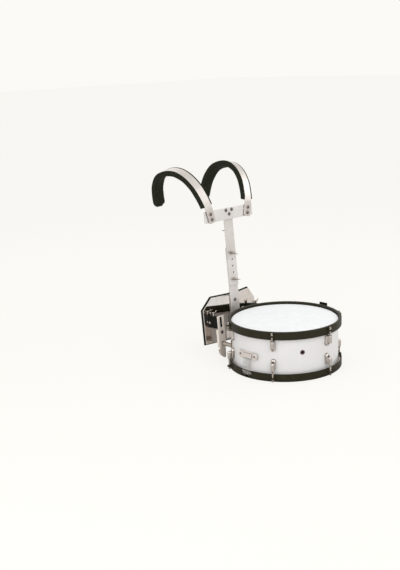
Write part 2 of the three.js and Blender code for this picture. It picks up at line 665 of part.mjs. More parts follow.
// The strainer's frame, its slide, the knob that grips the strap, and the throw lever.
function strainer() {
  const place = station(90);
  const back = SHELL_RADIUS + GAP;
  const front = back + STRAINER_THICK;
  const pivot = front + PIVOT_REACH;
  const hollow = round("z", SHELL_RADIUS + GAP, 0, DRUM_HEIGHT, [0, 0], DRUM_FACETS);
  const base = span([-STRAINER_HALF, STRAINER_HALF], [back - 2 * GAP, front],
    [STRAINER_LOW, STRAINER_HIGH]);
  const cheekIn = STRAINER_HALF - CHEEK_THICK;
  const cheeks = [-1, 1].map((side) => span(
    [side > 0 ? cheekIn : -STRAINER_HALF, side > 0 ? STRAINER_HALF : -cheekIn],
    [front - SINK, front + CHEEK_REACH], [CHEEK_LOW, STRAINER_HIGH]));
  const bore = round("x", PIVOT_RADIUS + BORE_PLAY, -STRAINER_HALF - PAST, STRAINER_HALF + PAST,
    [pivot, PIVOT_HEIGHT], HOLE_FACETS);
  const made = cut(join(base, ...cheeks), bore, hollow);
  addPiece("strainer_base", made.transform(place.elements), CHROME);

  const inside = cheekIn - BORE_PLAY;
  const slideBack = front + SLIDE_CLEAR;
  const slideFront = slideBack + SLIDE_THICK;
  const slide = span([-inside, inside], [slideBack, slideFront], [SLIDE_LOW, SLIDE_HIGH]);
  const strapReach = slideBack + SLIDE_THICK / 2;
  const slotHalf = STRAP_WIDTH / 2 - BORE_PLAY;
  const strapSlot = span([-inside - PAST, inside + PAST],
    [strapReach - STRAP_THICK / 2 - 2 * GAP, strapReach + STRAP_THICK / 2 + 2 * GAP],
    [SLIDE_LOW - PAST, STRAP_SLOT_TOP]);
  const stemBore = round("y", KNOB_STEM + BORE_PLAY, strapReach, slideFront + PAST,
    [0, KNOB_HEIGHT], HOLE_FACETS);
  addPiece("strainer_slide", cut(slide, strapSlot, stemBore).transform(place.elements), DULL_CHROME);

  const stemEnd = strapReach + STRAP_THICK / 2 + 2 * GAP + GAP;
  const knobBack = slideFront + GAP;
  const stem = round("y", KNOB_STEM, stemEnd, knobBack + SINK, [0, KNOB_HEIGHT], ROD_FACETS);
  const lobes = Array.from({ length: 2 * KNOB_LOBES }, (_, i) => {
    const radius = i % 2 ? KNOB_RADIUS - KNOB_GROOVE : KNOB_RADIUS;
    const angle = (Math.PI * i) / KNOB_LOBES;
    return [radius * Math.cos(angle), radius * Math.sin(angle)];
  });
  const grip = sheet(lobes, KNOB_THICK, turn(X_AXIS, 90), move(0, knobBack + KNOB_THICK / 2, KNOB_HEIGHT));
  addPiece("strainer_knob", join(stem, grip).transform(place.elements), DULL_CHROME);

  const route = strapRoute(strapReach, STRAP_TOP, STRAP_BEND_SHARES.strainer);
  addPiece("strap_strainer", ribbon(route, STRAP_THICK, 2 * slotHalf - 2 * BORE_PLAY, place), STRAP_FILM);

  const handleBack = pivot + LEVER_ROOT_RADIUS - LEVER_THICK;
  const leverOutline = [
    ...arc([pivot, PIVOT_HEIGHT], LEVER_ROOT_RADIUS, -180, 0, END_STEPS),
    [pivot + LEVER_ROOT_RADIUS, PIVOT_HEIGHT + 2 * LEVER_ROOT_RADIUS],
    [pivot + LEVER_ROOT_RADIUS + LEVER_FLARE, LEVER_TOP - LEVER_EASE],
    [pivot + LEVER_ROOT_RADIUS + LEVER_FLARE - LEVER_EASE, LEVER_TOP],
    [handleBack + LEVER_FLARE + LEVER_EASE, LEVER_TOP],
    [handleBack + LEVER_FLARE, LEVER_TOP - LEVER_EASE],
    [handleBack, PIVOT_HEIGHT + 2 * LEVER_ROOT_RADIUS],
    [pivot - LEVER_ROOT_RADIUS, PIVOT_HEIGHT + LEVER_ROOT_RADIUS / 2],
  ];
  const upright = new THREE.Matrix4().makeBasis(Y_AXIS, Z_AXIS, X_AXIS);
  const arm = sheet(leverOutline, 2 * inside, upright);
  const pin = round("x", PIVOT_RADIUS, -STRAINER_HALF, STRAINER_HALF, [pivot, PIVOT_HEIGHT], ROD_FACETS);
  addPiece("strainer_lever", join(arm, pin).transform(place.elements), BLACK_PLASTIC);
}

// Studs on the shell, held in the hangers' notches.
function studs() {
  const lean = Math.tan(radians(LEAN));
  const hangerFace = FACE_OFFSET + HANGER_FRONT / Math.cos(radians(LEAN))
    + (STUD_HEIGHT - FACE_HEIGHT) * lean;
  const slant = STUD_HEAD * lean + GAP;
  const collarEnd = hangerFace - slant - GAP;
  const headStart = hangerFace + HANGER_WALL + slant + GAP;
  const shellAt = Math.sqrt(SHELL_RADIUS ** 2 - HANGER_SPREAD ** 2);
  const angle = THREE.MathUtils.radToDeg(Math.atan2(HANGER_SPREAD, -shellAt));
  const hollow = round("z", SHELL_RADIUS + GAP, 0, DRUM_HEIGHT, [0, 0], DRUM_FACETS);
  [-1, 1].forEach((side) => {
    const at = [side * HANGER_SPREAD, STUD_HEIGHT];
    const place = station(side * angle);
    const foot = span([-STUD_FOOT_HALF, STUD_FOOT_HALF],
      [SHELL_RADIUS - STUD_FOOT_REACH, SHELL_RADIUS + STUD_FOOT_THICK],
      [STUD_HEIGHT - STUD_FOOT_TALL / 2, STUD_HEIGHT + STUD_FOOT_TALL / 2], place);
    const post = round("y", STUD_RADIUS, shellAt - STUD_RADIUS, collarEnd, at, HOLE_FACETS);
    const neck = round("y", STUD_NECK, collarEnd - SINK, headStart + SINK, at, HOLE_FACETS);
    const head = round("y", STUD_HEAD, headStart, headStart + STUD_HEAD_THICK, at, HOLE_FACETS);
    const made = cut(join(foot, post, neck, head), hollow);
    addPiece(`shell_stud_${side > 0 ? "left" : "right"}`, made, DULL_CHROME);
  });
}

// A wing nut or wing screw about Y, its seat at zero and its wings towards -Y.
function wingHead(bore) {
  const hub = round("y", WING_HUB_RADIUS, -WING_HUB_LENGTH, 0, [0, 0], HOLE_FACETS);
  const rootY = -WING_HUB_LENGTH * WING_ROOT_SHARE;
  const tipY = -WING_HUB_LENGTH - WING_RISE / 2;
  const wings = [-1, 1].map((side) => {
    const outline = [
      [side * SINK, -WING_THICK / 2],
      [side * WING_HUB_RADIUS, -WING_THICK / 2],
      [side * WING_SPAN, rootY - WING_RISE / 2],
      [side * WING_SPAN, tipY + WING_THICK / 2],
      [side * (WING_SPAN - WING_THICK), tipY],
      [side * (WING_SPAN - 2 * WING_THICK), tipY],
      [side * WING_HUB_RADIUS, -WING_HUB_LENGTH + SINK],
      [side * SINK, -WING_HUB_LENGTH + SINK],
    ];
    return sheet(outline, WING_THICK);
  });
  const whole = join(hub, ...wings);
  if (!bore) return whole;
  return cut(whole, round("y", bore, -WING_HUB_LENGTH - PAST, PAST, [0, 0], HOLE_FACETS));
}

const plateScrews = [PLATE_SCREW_HIGH, PLATE_SCREW_LOW];
const centreBolts = [
  [-CENTRE_BOLT_HALF, CENTRE_BOLT_HIGH], [CENTRE_BOLT_HALF, CENTRE_BOLT_HIGH], [0, CENTRE_BOLT_LOW],
];

// The two bars that slide on each other, with the nuts and screws on them.
function uprights() {
  const behind = BAR_THICK + GAP;
  const lowerBack = behind + BAR_THICK;
  const holes = Array.from({ length: HOLE_COUNT }, (_, i) => HOLE_FIRST + HOLE_PITCH * i);
  const bolted = [holes[0], holes[holes.length - 1]];
  const free = holes.slice(1, -1);
  const upper = span([-BAR_HALF, BAR_HALF], [0, BAR_THICK], [UPPER_FOOT, UPPER_TOP]);
  const drilled = free.map((z) => round("y", HOLE_RADIUS, -PAST, BAR_THICK + PAST, [0, z], HOLE_FACETS));
  const rearHole = round("y", ROD_RADIUS + BORE_PLAY, BAR_THICK - REAR_SCREW_DEPTH - GAP,
    BAR_THICK + PAST, [0, REAR_SCREW_HEIGHT], HOLE_FACETS);
  const bolts = bolted.flatMap((z) => [
    round("y", BOLT_RADIUS, -BOLT_REACH, lowerBack + GAP + SINK, [0, z], ROD_FACETS),
    round("y", BOLT_HEAD_RADIUS, lowerBack + GAP, lowerBack + GAP + BOLT_HEAD_THICK, [0, z], HOLE_FACETS),
  ]);
  const nuts = centreBolts.map(([x, z]) => round("y", SCREW_RADIUS, BAR_THICK - SINK,
    BAR_THICK + SCREW_HEAD, [x, z], NUT_FACETS));
  const crossHoles = centreBolts.map(([x, z]) => round("y", BOLT_RADIUS + GAP, -PAST,
    BAR_THICK / 2, [x, z], HOLE_FACETS));
  const upperMade = join(cut(upper, rearHole, ...drilled, ...crossHoles), ...bolts, ...nuts);
  addPiece("upper_bar", upperMade.transform(carrierFrame.elements), ALUMINIUM);

  const lower = span([-BAR_HALF, BAR_HALF], [behind, lowerBack], [LOWER_FOOT, LOWER_TOP]);
  const slot = join(
    span([-SLOT_HALF, SLOT_HALF], [behind - PAST, lowerBack + PAST], [SLOT_FOOT, LOWER_TOP + PAST]),
    round("y", SLOT_HALF, behind - PAST, lowerBack + PAST, [0, SLOT_FOOT], HOLE_FACETS));
  const screws = plateScrews.flatMap((z) => [
    round("y", SCREW_RADIUS, behind - SCREW_HEAD, behind + SINK, [0, z], HOLE_FACETS),
    round("y", BOLT_RADIUS, lowerBack - SINK, lowerBack + PLATE_THICK, [0, z], ROD_FACETS),
  ]);
  addPiece("lower_bar", join(cut(lower, slot), ...screws).transform(carrierFrame.elements), ALUMINIUM);

  bolted.forEach((z, i) => {
    const place = carrierFrame.clone().multiply(move(0, -GAP, z))
      .multiply(turn(Y_AXIS, WING_REST_TURN * (i + 1)));
    const name = `wing_nut_${i ? "upper" : "lower"}`;
    addPiece(name, wingHead(BOLT_RADIUS + BORE_PLAY).transform(place.elements), DULL_CHROME);
  });
  const screwPlace = carrierFrame.clone().multiply(move(0, BAR_THICK + GAP, REAR_SCREW_HEIGHT))
    .multiply(turn(Z_AXIS, 180));
  const stem = round("y", ROD_RADIUS, -SINK, REAR_SCREW_DEPTH, [0, 0], ROD_FACETS);
  const rear = join(wingHead(0), stem).transform(screwPlace.elements);
  addPiece("rear_wing_screw", rear, DULL_CHROME);
}

// The crossbar in front of the upright, with the heads of its three bolts.
function crossbar() {
  const front = -GAP - BAR_THICK;
  const c = CROSS_CORNER;
  const outline = [
    ...arc([CROSS_HALF - c, CROSS_FOOT + c], c, -90, 0, CORNER_STEPS),
    ...arc([CROSS_HALF - c, CROSS_TOP - c], c, 0, 90, CORNER_STEPS),
    ...arc([c - CROSS_HALF, CROSS_TOP - c], c, 90, 180, CORNER_STEPS),
    ...arc([c - CROSS_HALF, CROSS_FOOT + c], c, 180, 270, CORNER_STEPS),
  ];
  const bar = sheet(outline, BAR_THICK, turn(X_AXIS, 90), move(0, front + BAR_THICK / 2, 0));
  const heads = centreBolts.flatMap(([x, z]) => [
    round("y", SCREW_RADIUS, front - SCREW_HEAD, front + SINK, [x, z], HOLE_FACETS),
    round("y", BOLT_RADIUS, -GAP - SINK, BAR_THICK / 2 - GAP, [x, z], ROD_FACETS),
  ]);
  const holes = [-1, 1].flatMap((side) => hookBoltPlaces(side).map(([x, z]) =>
    round("y", BOLT_RADIUS + GAP, front - PAST, PAST, [x, z], HOLE_FACETS)));
  addPiece("crossbar", cut(join(bar, ...heads), ...holes).transform(carrierFrame.elements), ALUMINIUM);
}

function hookBoltPlaces(side) {
  const tilt = radians(HOOK_TILT);
  return [-HOOK_BOLT_HALF, HOOK_BOLT_HALF].map((up) => [
    side * (HOOK_SPREAD + up * Math.sin(tilt)), HOOK_HEIGHT + up * Math.cos(tilt),
  ]);
}

// The frame of a shoulder hook: X back, Y up along the tilted strip, Z across it.
function hookFrame(side) {
  const tilt = radians(HOOK_TILT);
  const up = new THREE.Vector3(side * Math.sin(tilt), 0, Math.cos(tilt));
  const across = new THREE.Vector3(Math.cos(tilt), 0, -side * Math.sin(tilt));
  const splay = side * Math.tan(radians(HOOK_SPLAY));
  const back = new THREE.Vector3(0, 1, 0).addScaledVector(across, splay);
  const rear = -GAP - BAR_THICK - GAP;
  return new THREE.Matrix4().makeBasis(back, up, across)
    .premultiply(move(side * HOOK_SPREAD, rear, HOOK_HEIGHT)).premultiply(carrierFrame);
}

const hookCurve = new THREE.SplineCurve(HOOK_ROUTE_SHARES.map(([back, up]) =>
  new THREE.Vector2(back * HOOK_REACH, up * HOOK_CREST)));

// Places at a distance outside the hook's rear face, between two steps of its length, the last
// one carried on by a length.
function hookLine(outside, first, last, beyond) {
  return Array.from({ length: last - first + 1 }, (_, i) => {
    const share = (first + i) / HOOK_STEPS;
    const point = hookCurve.getPointAt(share);
    const along = hookCurve.getTangentAt(share);
    const more = first + i === last ? beyond : 0;
    return [point.x - along.y * outside + along.x * more, point.y + along.x * outside + along.y * more];
  });
}

function shoulderHook(side) {
  const name = side > 0 ? "left" : "right";
  const place = hookFrame(side);
  const outline = [
    ...hookLine(HOOK_THICK, 0, BAR_LAST_STEP, 0), ...hookLine(0, 0, BAR_LAST_STEP, 0).reverse(),
  ];
  const strip = sheet(outline, HOOK_WIDTH, place);
  const front = -2 * GAP - BAR_THICK - HOOK_THICK;
  const bolts = hookBoltPlaces(side).flatMap(([x, z]) => [
    round("y", SCREW_RADIUS, front - SCREW_HEAD, front + 2 * SINK, [x, z], HOLE_FACETS, carrierFrame),
    round("y", BOLT_RADIUS, front, SINK, [x, z], ROD_FACETS, carrierFrame),
    round("y", SCREW_RADIUS, 0, SCREW_HEAD, [x, z], NUT_FACETS, carrierFrame),
  ]);
  addPiece(`shoulder_bar_${name}`, join(strip, ...bolts), ALUMINIUM);
}

function shoulderPad(side) {
  const name = side > 0 ? "left" : "right";
  const place = hookFrame(side);
  const outer = hookLine(HOOK_THICK, PAD_FIRST_STEP, HOOK_STEPS, 0);
  const inner = hookLine(-PAD_BACKING, PAD_FIRST_STEP, HOOK_STEPS, 0).reverse();
  const body = softSheet([...outer, ...inner], PAD_WIDTH, PAD_BEVEL, 2, place);
  const slot = sheet([
    ...hookLine(HOOK_THICK + PAST, 0, BAR_LAST_STEP, GAP),
    ...hookLine(-GAP, 0, BAR_LAST_STEP, GAP).reverse(),
  ], HOOK_WIDTH + 2 * GAP, place);
  addPiece(`shoulder_pad_${name}`, cut(body, slot, padEndCutter(place)), BLACK_FOAM);
}

// What a pad's round end leaves out of its square end, in the frame of the hook.
function padEndCutter(place) {
  const end = hookCurve.getPointAt(1);
  const along = hookCurve.getTangentAt(1);
  const half = PAD_WIDTH / 2;
  const endFrame = new THREE.Matrix4().makeBasis(
    new THREE.Vector3(along.x, along.y, 0), new THREE.Vector3(-along.y, along.x, 0), Z_AXIS,
  ).premultiply(move(end.x, end.y, 0));
  const depths = [-PAD_BACKING - PAST, HOOK_THICK + PAST];
  const square = span([-half, PAST], depths, [-half - PAST, half + PAST]);
  const disc = round("y", half, depths[0] - PAST, depths[1] + PAST, [-half, 0], PAD_END_FACETS);
  return cut(square, disc).transform(place.clone().multiply(endFrame).elements);
}

const plateFront = 2 * (BAR_THICK + GAP);
const plateSweepAt = (x) => Math.max(Math.abs(x) - PLATE_FLAT_HALF, 0) * PLATE_SWEEP;

// The front outline of the belly plate, grown by a margin, as a cutter through its depth.
function plateOutline(margin) {
  const half = PLATE_HALF + margin;
  const top = PLATE_TOP + margin;
  const foot = PLATE_FOOT - margin;
  const right = [
    [half, foot], [half, PLATE_CHAMFER_FOOT + margin / 2], [PLATE_CHAMFER_HALF + margin / 2, top],
  ];
  const outline = [...right, ...right.map(([x, z]) => [-x, z]).reverse()];
  return sheet(outline, FACE_OFFSET, turn(X_AXIS, 90));
}

function belly() {
  const xs = [-PLATE_HALF, -PLATE_FLAT_HALF, PLATE_FLAT_HALF, PLATE_HALF];
  const line = (offset, margin) => xs.map((x) => {
    const wide = x + Math.sign(x) * (Math.abs(x) > PLATE_FLAT_HALF ? margin : 0);
    return [wide, plateFront + plateSweepAt(wide) + offset];
  });
  const tall = PLATE_TOP - PLATE_FOOT;
  const middle = (PLATE_TOP + PLATE_FOOT) / 2;
  const plan = [...line(0, 0), ...line(PLATE_THICK, 0).reverse()];
  const screwHoles = plateScrews.map((z) => round("y", BOLT_RADIUS + GAP, plateFront - PAST,
    plateFront + PLATE_THICK + PAST, [0, z], HOLE_FACETS));
  const plate = cut(sheet(plan, tall, move(0, 0, middle)).intersect(plateOutline(0)), ...screwHoles);
  addPiece("belly_plate", plate.transform(carrierFrame.elements), MIRROR_STEEL);

  const front = PLATE_THICK + GAP;
  const crown = (x) => BELLY_CROWN * (1 - (x / (PLATE_HALF + BELLY_MARGIN)) ** 2);
  const rear = Array.from({ length: BELLY_STEPS + 1 }, (_, i) => {
    const x = (PLATE_HALF + BELLY_MARGIN) * ((2 * i) / BELLY_STEPS - 1);
    return [x, plateFront + plateSweepAt(x) + front + BELLY_THICK - BELLY_CROWN + crown(x)];
  });
  const padPlan = [...line(front, BELLY_MARGIN), ...rear.reverse()];
  const padTall = tall + 2 * BELLY_MARGIN;
  const pad = softSheet(padPlan, padTall, BELLY_BEVEL, 2, move(0, 0, middle));
  const seat = sheet([...line(-PAST, PAST), ...line(front, PAST).reverse()], FACE_OFFSET, move(0, 0, middle));
  const made = cut(pad.intersect(plateOutline(BELLY_MARGIN)), seat);
  addPiece("belly_pad", made.transform(carrierFrame.elements), BLACK_FOAM);
}

// The black clamp block on the plate's wing, with a key that fills the hanger's slot.
function clampBlock(side) {
  const name = side > 0 ? "left" : "right";
  const middle = side * HANGER_SPREAD;
  const blockFront = HANGER_FRONT + HANGER_WALL + GAP;
  const corners = [middle - BLOCK_HALF, middle + BLOCK_HALF];
  const plan = [
    [corners[0], blockFront], [corners[1], blockFront],
    [corners[1], plateFront + plateSweepAt(corners[1]) - GAP],
    [corners[0], plateFront + plateSweepAt(corners[0]) - GAP],
  ];
  const tall = BLOCK_TOP - BLOCK_FOOT;
  const block = sheet(plan, tall, move(0, 0, (BLOCK_TOP + BLOCK_FOOT) / 2));
  const keyHalf = HANGER_SLOT_HALF - GAP;
  const key = span([middle - keyHalf, middle + keyHalf], [HANGER_FRONT + BLOCK_KEY_DROP, blockFront + SINK],
    [HANGER_SLOT_FOOT + GAP, HANGER_SLOT_TOP - GAP]);
  const outer = middle + side * BLOCK_HALF;
  const boltSpan = side > 0 ? [outer - SINK, outer + SCREW_HEAD] : [outer - SCREW_HEAD, outer + SINK];
  const bolt = round("x", SCREW_RADIUS, ...boltSpan, [HANGER_FRONT + SIDE_BOLT_DEPTH + HANGER_DEPTH,
    SIDE_BOLT_HEIGHT], HOLE_FACETS);
  const screwAt = [middle, HANGER_FRONT + CLAMP_SCREW_DEPTH];
  const hole = round("z", CLAMP_SCREW_RADIUS + BORE_PLAY, BLOCK_TOP - CLAMP_SCREW_STEM - GAP,
    BLOCK_TOP + PAST, screwAt, HOLE_FACETS);
  const made = cut(join(block, key, bolt), hole);
  addPiece(`clamp_block_${name}`, made.transform(carrierFrame.elements), BLACK_PLASTIC);

  const stem = round("y", CLAMP_SCREW_RADIUS, -SINK, CLAMP_SCREW_STEM - GAP, [0, 0], ROD_FACETS);
  const place = carrierFrame.clone().multiply(move(screwAt[0], screwAt[1], BLOCK_TOP + GAP))
    .multiply(turn(X_AXIS, -90));
  addPiece(`clamp_screw_${name}`, join(wingHead(0), stem).transform(place.elements), CHROME);
}

// The hanger: a plate with a slot for the block's key above, and below the block a channel with a
// notch for the shell's stud.
function hanger(side) {
  const name = side > 0 ? "left" : "right";
  const middle = side * HANGER_SPREAD;
  const back = HANGER_FRONT + HANGER_DEPTH;
  const web = span([middle - HANGER_HALF, middle + HANGER_HALF],
    [HANGER_FRONT, HANGER_FRONT + HANGER_WALL], [HANGER_FOOT, HANGER_TOP]);
  const flanges = [-1, 1].map((edge) => {
    const outer = middle + edge * HANGER_HALF;
    const inner = middle + edge * (HANGER_HALF - HANGER_WALL);
    const outline = [
      [HANGER_FRONT + SINK, BLOCK_FOOT], [back, BLOCK_FOOT - HANGER_WALL],
      [back, HANGER_FOOT + HANGER_WALL], [HANGER_FRONT + SINK, HANGER_FOOT],
    ];
    const upright = new THREE.Matrix4().makeBasis(Y_AXIS, Z_AXIS, X_AXIS);
    return sheet(outline, HANGER_WALL, upright, move((outer + inner) / 2, 0, 0));
  });
  const slot = span([middle - HANGER_SLOT_HALF, middle + HANGER_SLOT_HALF],
    [HANGER_FRONT - PAST, HANGER_FRONT + HANGER_WALL + GAP], [HANGER_SLOT_FOOT, HANGER_SLOT_TOP]);
  const notchHalf = STUD_NECK + BORE_PLAY;
  const notch = join(
    span([middle - notchHalf, middle + notchHalf],
      [HANGER_FRONT - PAST, HANGER_FRONT + HANGER_WALL + GAP], [HANGER_FOOT - PAST, NOTCH_TOP]),
    round("y", notchHalf, HANGER_FRONT - PAST, HANGER_FRONT + HANGER_WALL + GAP,
      [middle, NOTCH_TOP], HOLE_FACETS));
  const screw = round("y", SCREW_RADIUS, HANGER_FRONT - SCREW_HEAD, HANGER_FRONT + SINK,
    [middle, HANGER_SCREW], HOLE_FACETS);
  const pinHoles = round("x", LATCH_PIN + BORE_PLAY, middle - HANGER_HALF - PAST,
    middle + HANGER_HALF + PAST, [HANGER_FRONT + LATCH_PIN_DEPTH, LATCH_PIN_HEIGHT], HOLE_FACETS);
  const made = cut(join(web, ...flanges, screw), slot, notch, pinHoles);
  addPiece(`hanger_${name}`, made.transform(carrierFrame.elements), CHROME);
}

// The latch that swings under the stud's head: two eyes at the hanger's flanges, a tongue that
// tapers from its outer edge, and a flange along that edge.
function latch(side) {
  const name = side > 0 ? "left" : "right";
  const middle = side * HANGER_SPREAD;
  const inside = HANGER_HALF - HANGER_WALL - LATCH_SIDE_PLAY;
  const saddleHalf = STUD_HEAD + LATCH_SADDLE_PLAY;
  const depth = HANGER_FRONT + LATCH_PIN_DEPTH;
  const at = [depth, LATCH_PIN_HEIGHT];
  const between = (edge, near, far) => [near, far].map((x) => middle + edge * x).sort((a, b) => a - b);
  const eyes = [-1, 1].flatMap((edge) => [
    round("x", LATCH_BARREL, ...between(edge, saddleHalf, inside), at, HOLE_FACETS),
    round("x", LATCH_PIN, ...between(edge, saddleHalf, HANGER_HALF), at, ROD_FACETS),
  ]);
  const shoulder = LATCH_PIN_HEIGHT - LATCH_DROP * LATCH_SHOULDER_SHARE;
  const tip = LATCH_PIN_HEIGHT - LATCH_DROP;
  const saddle = LATCH_PIN_HEIGHT - LATCH_SADDLE;
  const step = LATCH_PIN_HEIGHT - LATCH_STEP;
  const tipOutside = LATCH_DRAFT + 2 * LATCH_TIP_HALF - LATCH_HALF;
  const leftOutline = [
    [inside, LATCH_PIN_HEIGHT], [saddleHalf, LATCH_PIN_HEIGHT], [saddleHalf, saddle],
    [-saddleHalf, saddle], [-saddleHalf, LATCH_PIN_HEIGHT], [-inside, LATCH_PIN_HEIGHT],
    [-inside, step], [-LATCH_HALF, step], [LATCH_DRAFT - LATCH_HALF, tip + LATCH_NOSE],
    [LATCH_DRAFT + LATCH_NOSE - LATCH_HALF, tip], [tipOutside, tip], [LATCH_HALF, shoulder],
    [LATCH_HALF, step], [inside, step],
  ];
  const outline = side > 0 ? leftOutline : leftOutline.map(([x, z]) => [-x, z]).reverse();
  const face = depth - LATCH_BARREL;
  const tongue = sheet(outline, LATCH_THICK, turn(X_AXIS, 90), move(middle, face + LATCH_THICK / 2, 0));
  const back = HANGER_FRONT + HANGER_DEPTH;
  const upright = new THREE.Matrix4().makeBasis(Y_AXIS, Z_AXIS, X_AXIS);
  const flange = sheet([
    [face, step], [back, step], [back - LATCH_DRAFT, shoulder], [face + SINK, shoulder - LATCH_NOSE],
    [face, shoulder],
  ], HANGER_WALL, upright, move(middle + side * (LATCH_HALF - HANGER_WALL / 2), 0, 0));
  addPiece(`latch_${name}`, join(tongue, flange, ...eyes).transform(carrierFrame.elements), CHROME);
}

shell();
heads();
hoops();
lugsAndRods();
ventGrommet();
snares();
butt();
strainer();
studs();
uprights();
crossbar();
belly();
[-1, 1].forEach((side) => {
  shoulderHook(side);
  shoulderPad(side);
  clampBlock(side);
  hanger(side);
  latch(side);
});

// The origin is under the middle of the whole part.
const bounds = new THREE.Box3().setFromObject(group);
const centre = bounds.getCenter(new THREE.Vector3());
group.position.set(-centre.x, -centre.y, -bounds.min.z);

export default group;
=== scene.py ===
"""A marching snare drum on its shoulder carrier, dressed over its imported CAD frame.

Lengths are millimetres while a piece is being worked out, and one function turns them to metres.
+Z is up, the player looks towards -Y and has +X on the left hand.
"""

import logging
import math
from dataclasses import dataclass, field, replace
from enum import Enum

import bmesh
import bpy
import numpy as np
from mathutils import Matrix, Vector
from mathutils.geometry import tessellate_polygon


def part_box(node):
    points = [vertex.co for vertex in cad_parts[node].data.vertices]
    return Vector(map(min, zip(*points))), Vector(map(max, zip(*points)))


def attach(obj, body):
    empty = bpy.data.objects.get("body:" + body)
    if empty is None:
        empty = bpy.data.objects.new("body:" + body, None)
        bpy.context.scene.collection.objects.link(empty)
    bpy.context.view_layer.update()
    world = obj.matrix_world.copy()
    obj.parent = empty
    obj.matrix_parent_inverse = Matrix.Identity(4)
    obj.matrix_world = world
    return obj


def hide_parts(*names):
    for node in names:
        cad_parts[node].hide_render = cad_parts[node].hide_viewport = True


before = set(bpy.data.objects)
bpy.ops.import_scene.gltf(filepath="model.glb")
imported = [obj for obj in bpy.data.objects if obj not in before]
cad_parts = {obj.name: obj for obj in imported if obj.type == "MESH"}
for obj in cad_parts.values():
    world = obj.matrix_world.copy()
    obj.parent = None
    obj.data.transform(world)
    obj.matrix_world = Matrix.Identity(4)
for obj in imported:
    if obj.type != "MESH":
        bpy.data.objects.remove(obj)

LOG = logging.getLogger("snare_drum")
MM = 0.001
STATIONS = (0.0, 60.0, 120.0, 180.0, 240.0, 300.0)
DRUM_BODY = "drum_and_mount"
FRAME_BODY = "upper_frame"
PHOTO_SIZE = (400, 570)
# The leaning uprights: their lean, and where their front face crosses the height that they are measured from
LEAN = math.radians(5)
UPRIGHT_FRONT, UPRIGHT_HEIGHT = 223.0, 150.0
# The hangers' front face, their wall, their distance from the middle and the height of their studs
HANGER_FRONT, HANGER_WALL, HANGER_SPREAD, STUD_HEIGHT = -24.0, 3.0, 104.0, 56.0
# Air between two parts that lie on one another
AIR = 0.3
# Button heads as radius, height and socket radius, and a nut as width over its flats and height
BUTTON_HEAD, SMALL_HEAD, LOCK_NUT = (6.2, 2.6, 2.0), (2.8, 1.6, 1.0), (10.2, 2.5)

Pieces = list[bpy.types.Object]


class Side(Enum):
    """A side of the carrier as its player names it."""

    LEFT = 1
    RIGHT = -1

    @property
    def word(self) -> str:
        """The side's name in node names."""
        return self.name.lower()


class Axis(Enum):
    """Where a piece's own Z points, as the basis (x, y, z) of its frame; FRONT is towards -Y."""

    X = ((0, 1, 0), (0, 0, 1), (1, 0, 0))
    Y = ((1, 0, 0), (0, 0, -1), (0, 1, 0))
    Z = ((1, 0, 0), (0, 1, 0), (0, 0, 1))
    FRONT = ((1, 0, 0), (0, 0, 1), (0, -1, 0))


# Places


def basis(x: tuple, y: tuple, z: tuple, origin: tuple = (0, 0, 0)) -> np.ndarray:
    """A 4 by 4 place whose columns are the three axes and the origin.

    Args:
        x, y, z: The axes of the placed piece.
        origin: Where its own origin goes.

    Returns:
        The matrix.
    """
    made = np.eye(4)
    made[:3, 0], made[:3, 1], made[:3, 2], made[:3, 3] = x, y, z, origin
    return made


def at(x: float, y: float, z: float, axis: Axis = Axis.Z) -> np.ndarray:
    """A place at a point, with the piece's own Z along an axis."""
    return basis(*axis.value, origin=(x, y, z))


def path_places(across: np.ndarray, outward: np.ndarray, along: np.ndarray, origin: np.ndarray) -> np.ndarray:
    """Places down a path: one 4 by 4 matrix a row, whose columns are the three axes and the origin.

    Args:
        across, outward, along: The places' X, Y and Z, rows by 3, or one of 3 for all.
        origin: Their origins, rows by 3.

    Returns:
        The matrices, rows by 4 by 4.
    """
    made = np.zeros((len(origin), 4, 4))
    for column, values in enumerate((across, outward, along, origin)):
        made[:, :3, column] = values
    made[:, 3, 3] = 1
    return made


def turned(degrees: float) -> np.ndarray:
    """A turn about the piece's own Z."""
    c, s = math.cos(math.radians(degrees)), math.sin(math.radians(degrees))
    return basis((c, s, 0), (-s, c, 0), (0, 0, 1))


def drum_axis() -> np.ndarray:
    """The place of the drum's axis on the floor, from the batter head of the CAD frame.

    Returns:
        The place.
    """
    low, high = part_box("batter_head")
    x, y = (low.x + high.x) / 2 / MM, (low.y + high.y) / 2 / MM
    return at(x, y, 0)


def station(degrees: float) -> np.ndarray:
    """The place at an angle round the drum: X along the shell, Y outwards, Z up; zero is the front.

    Args:
        degrees: The angle from the front, anticlockwise from above.

    Returns:
        The place.
    """
    angle = math.radians(degrees)
    out = (math.sin(angle), -math.cos(angle), 0)
    mirrored = basis((-1, 0, 0), (0, 1, 0), (0, 0, 1))
    return drum_axis() @ basis((-out[1], out[0], 0), out, (0, 0, 1)) @ mirrored


def carrier_place() -> np.ndarray:
    """The carrier's place: X across, Y back from the upright's front face, Z up along the leaning upright."""
    c, s = math.cos(LEAN), math.sin(LEAN)
    return drum_axis() @ basis((1, 0, 0), (0, c, -s), (0, s, c), (0, UPRIGHT_FRONT, UPRIGHT_HEIGHT))


# Surfaces


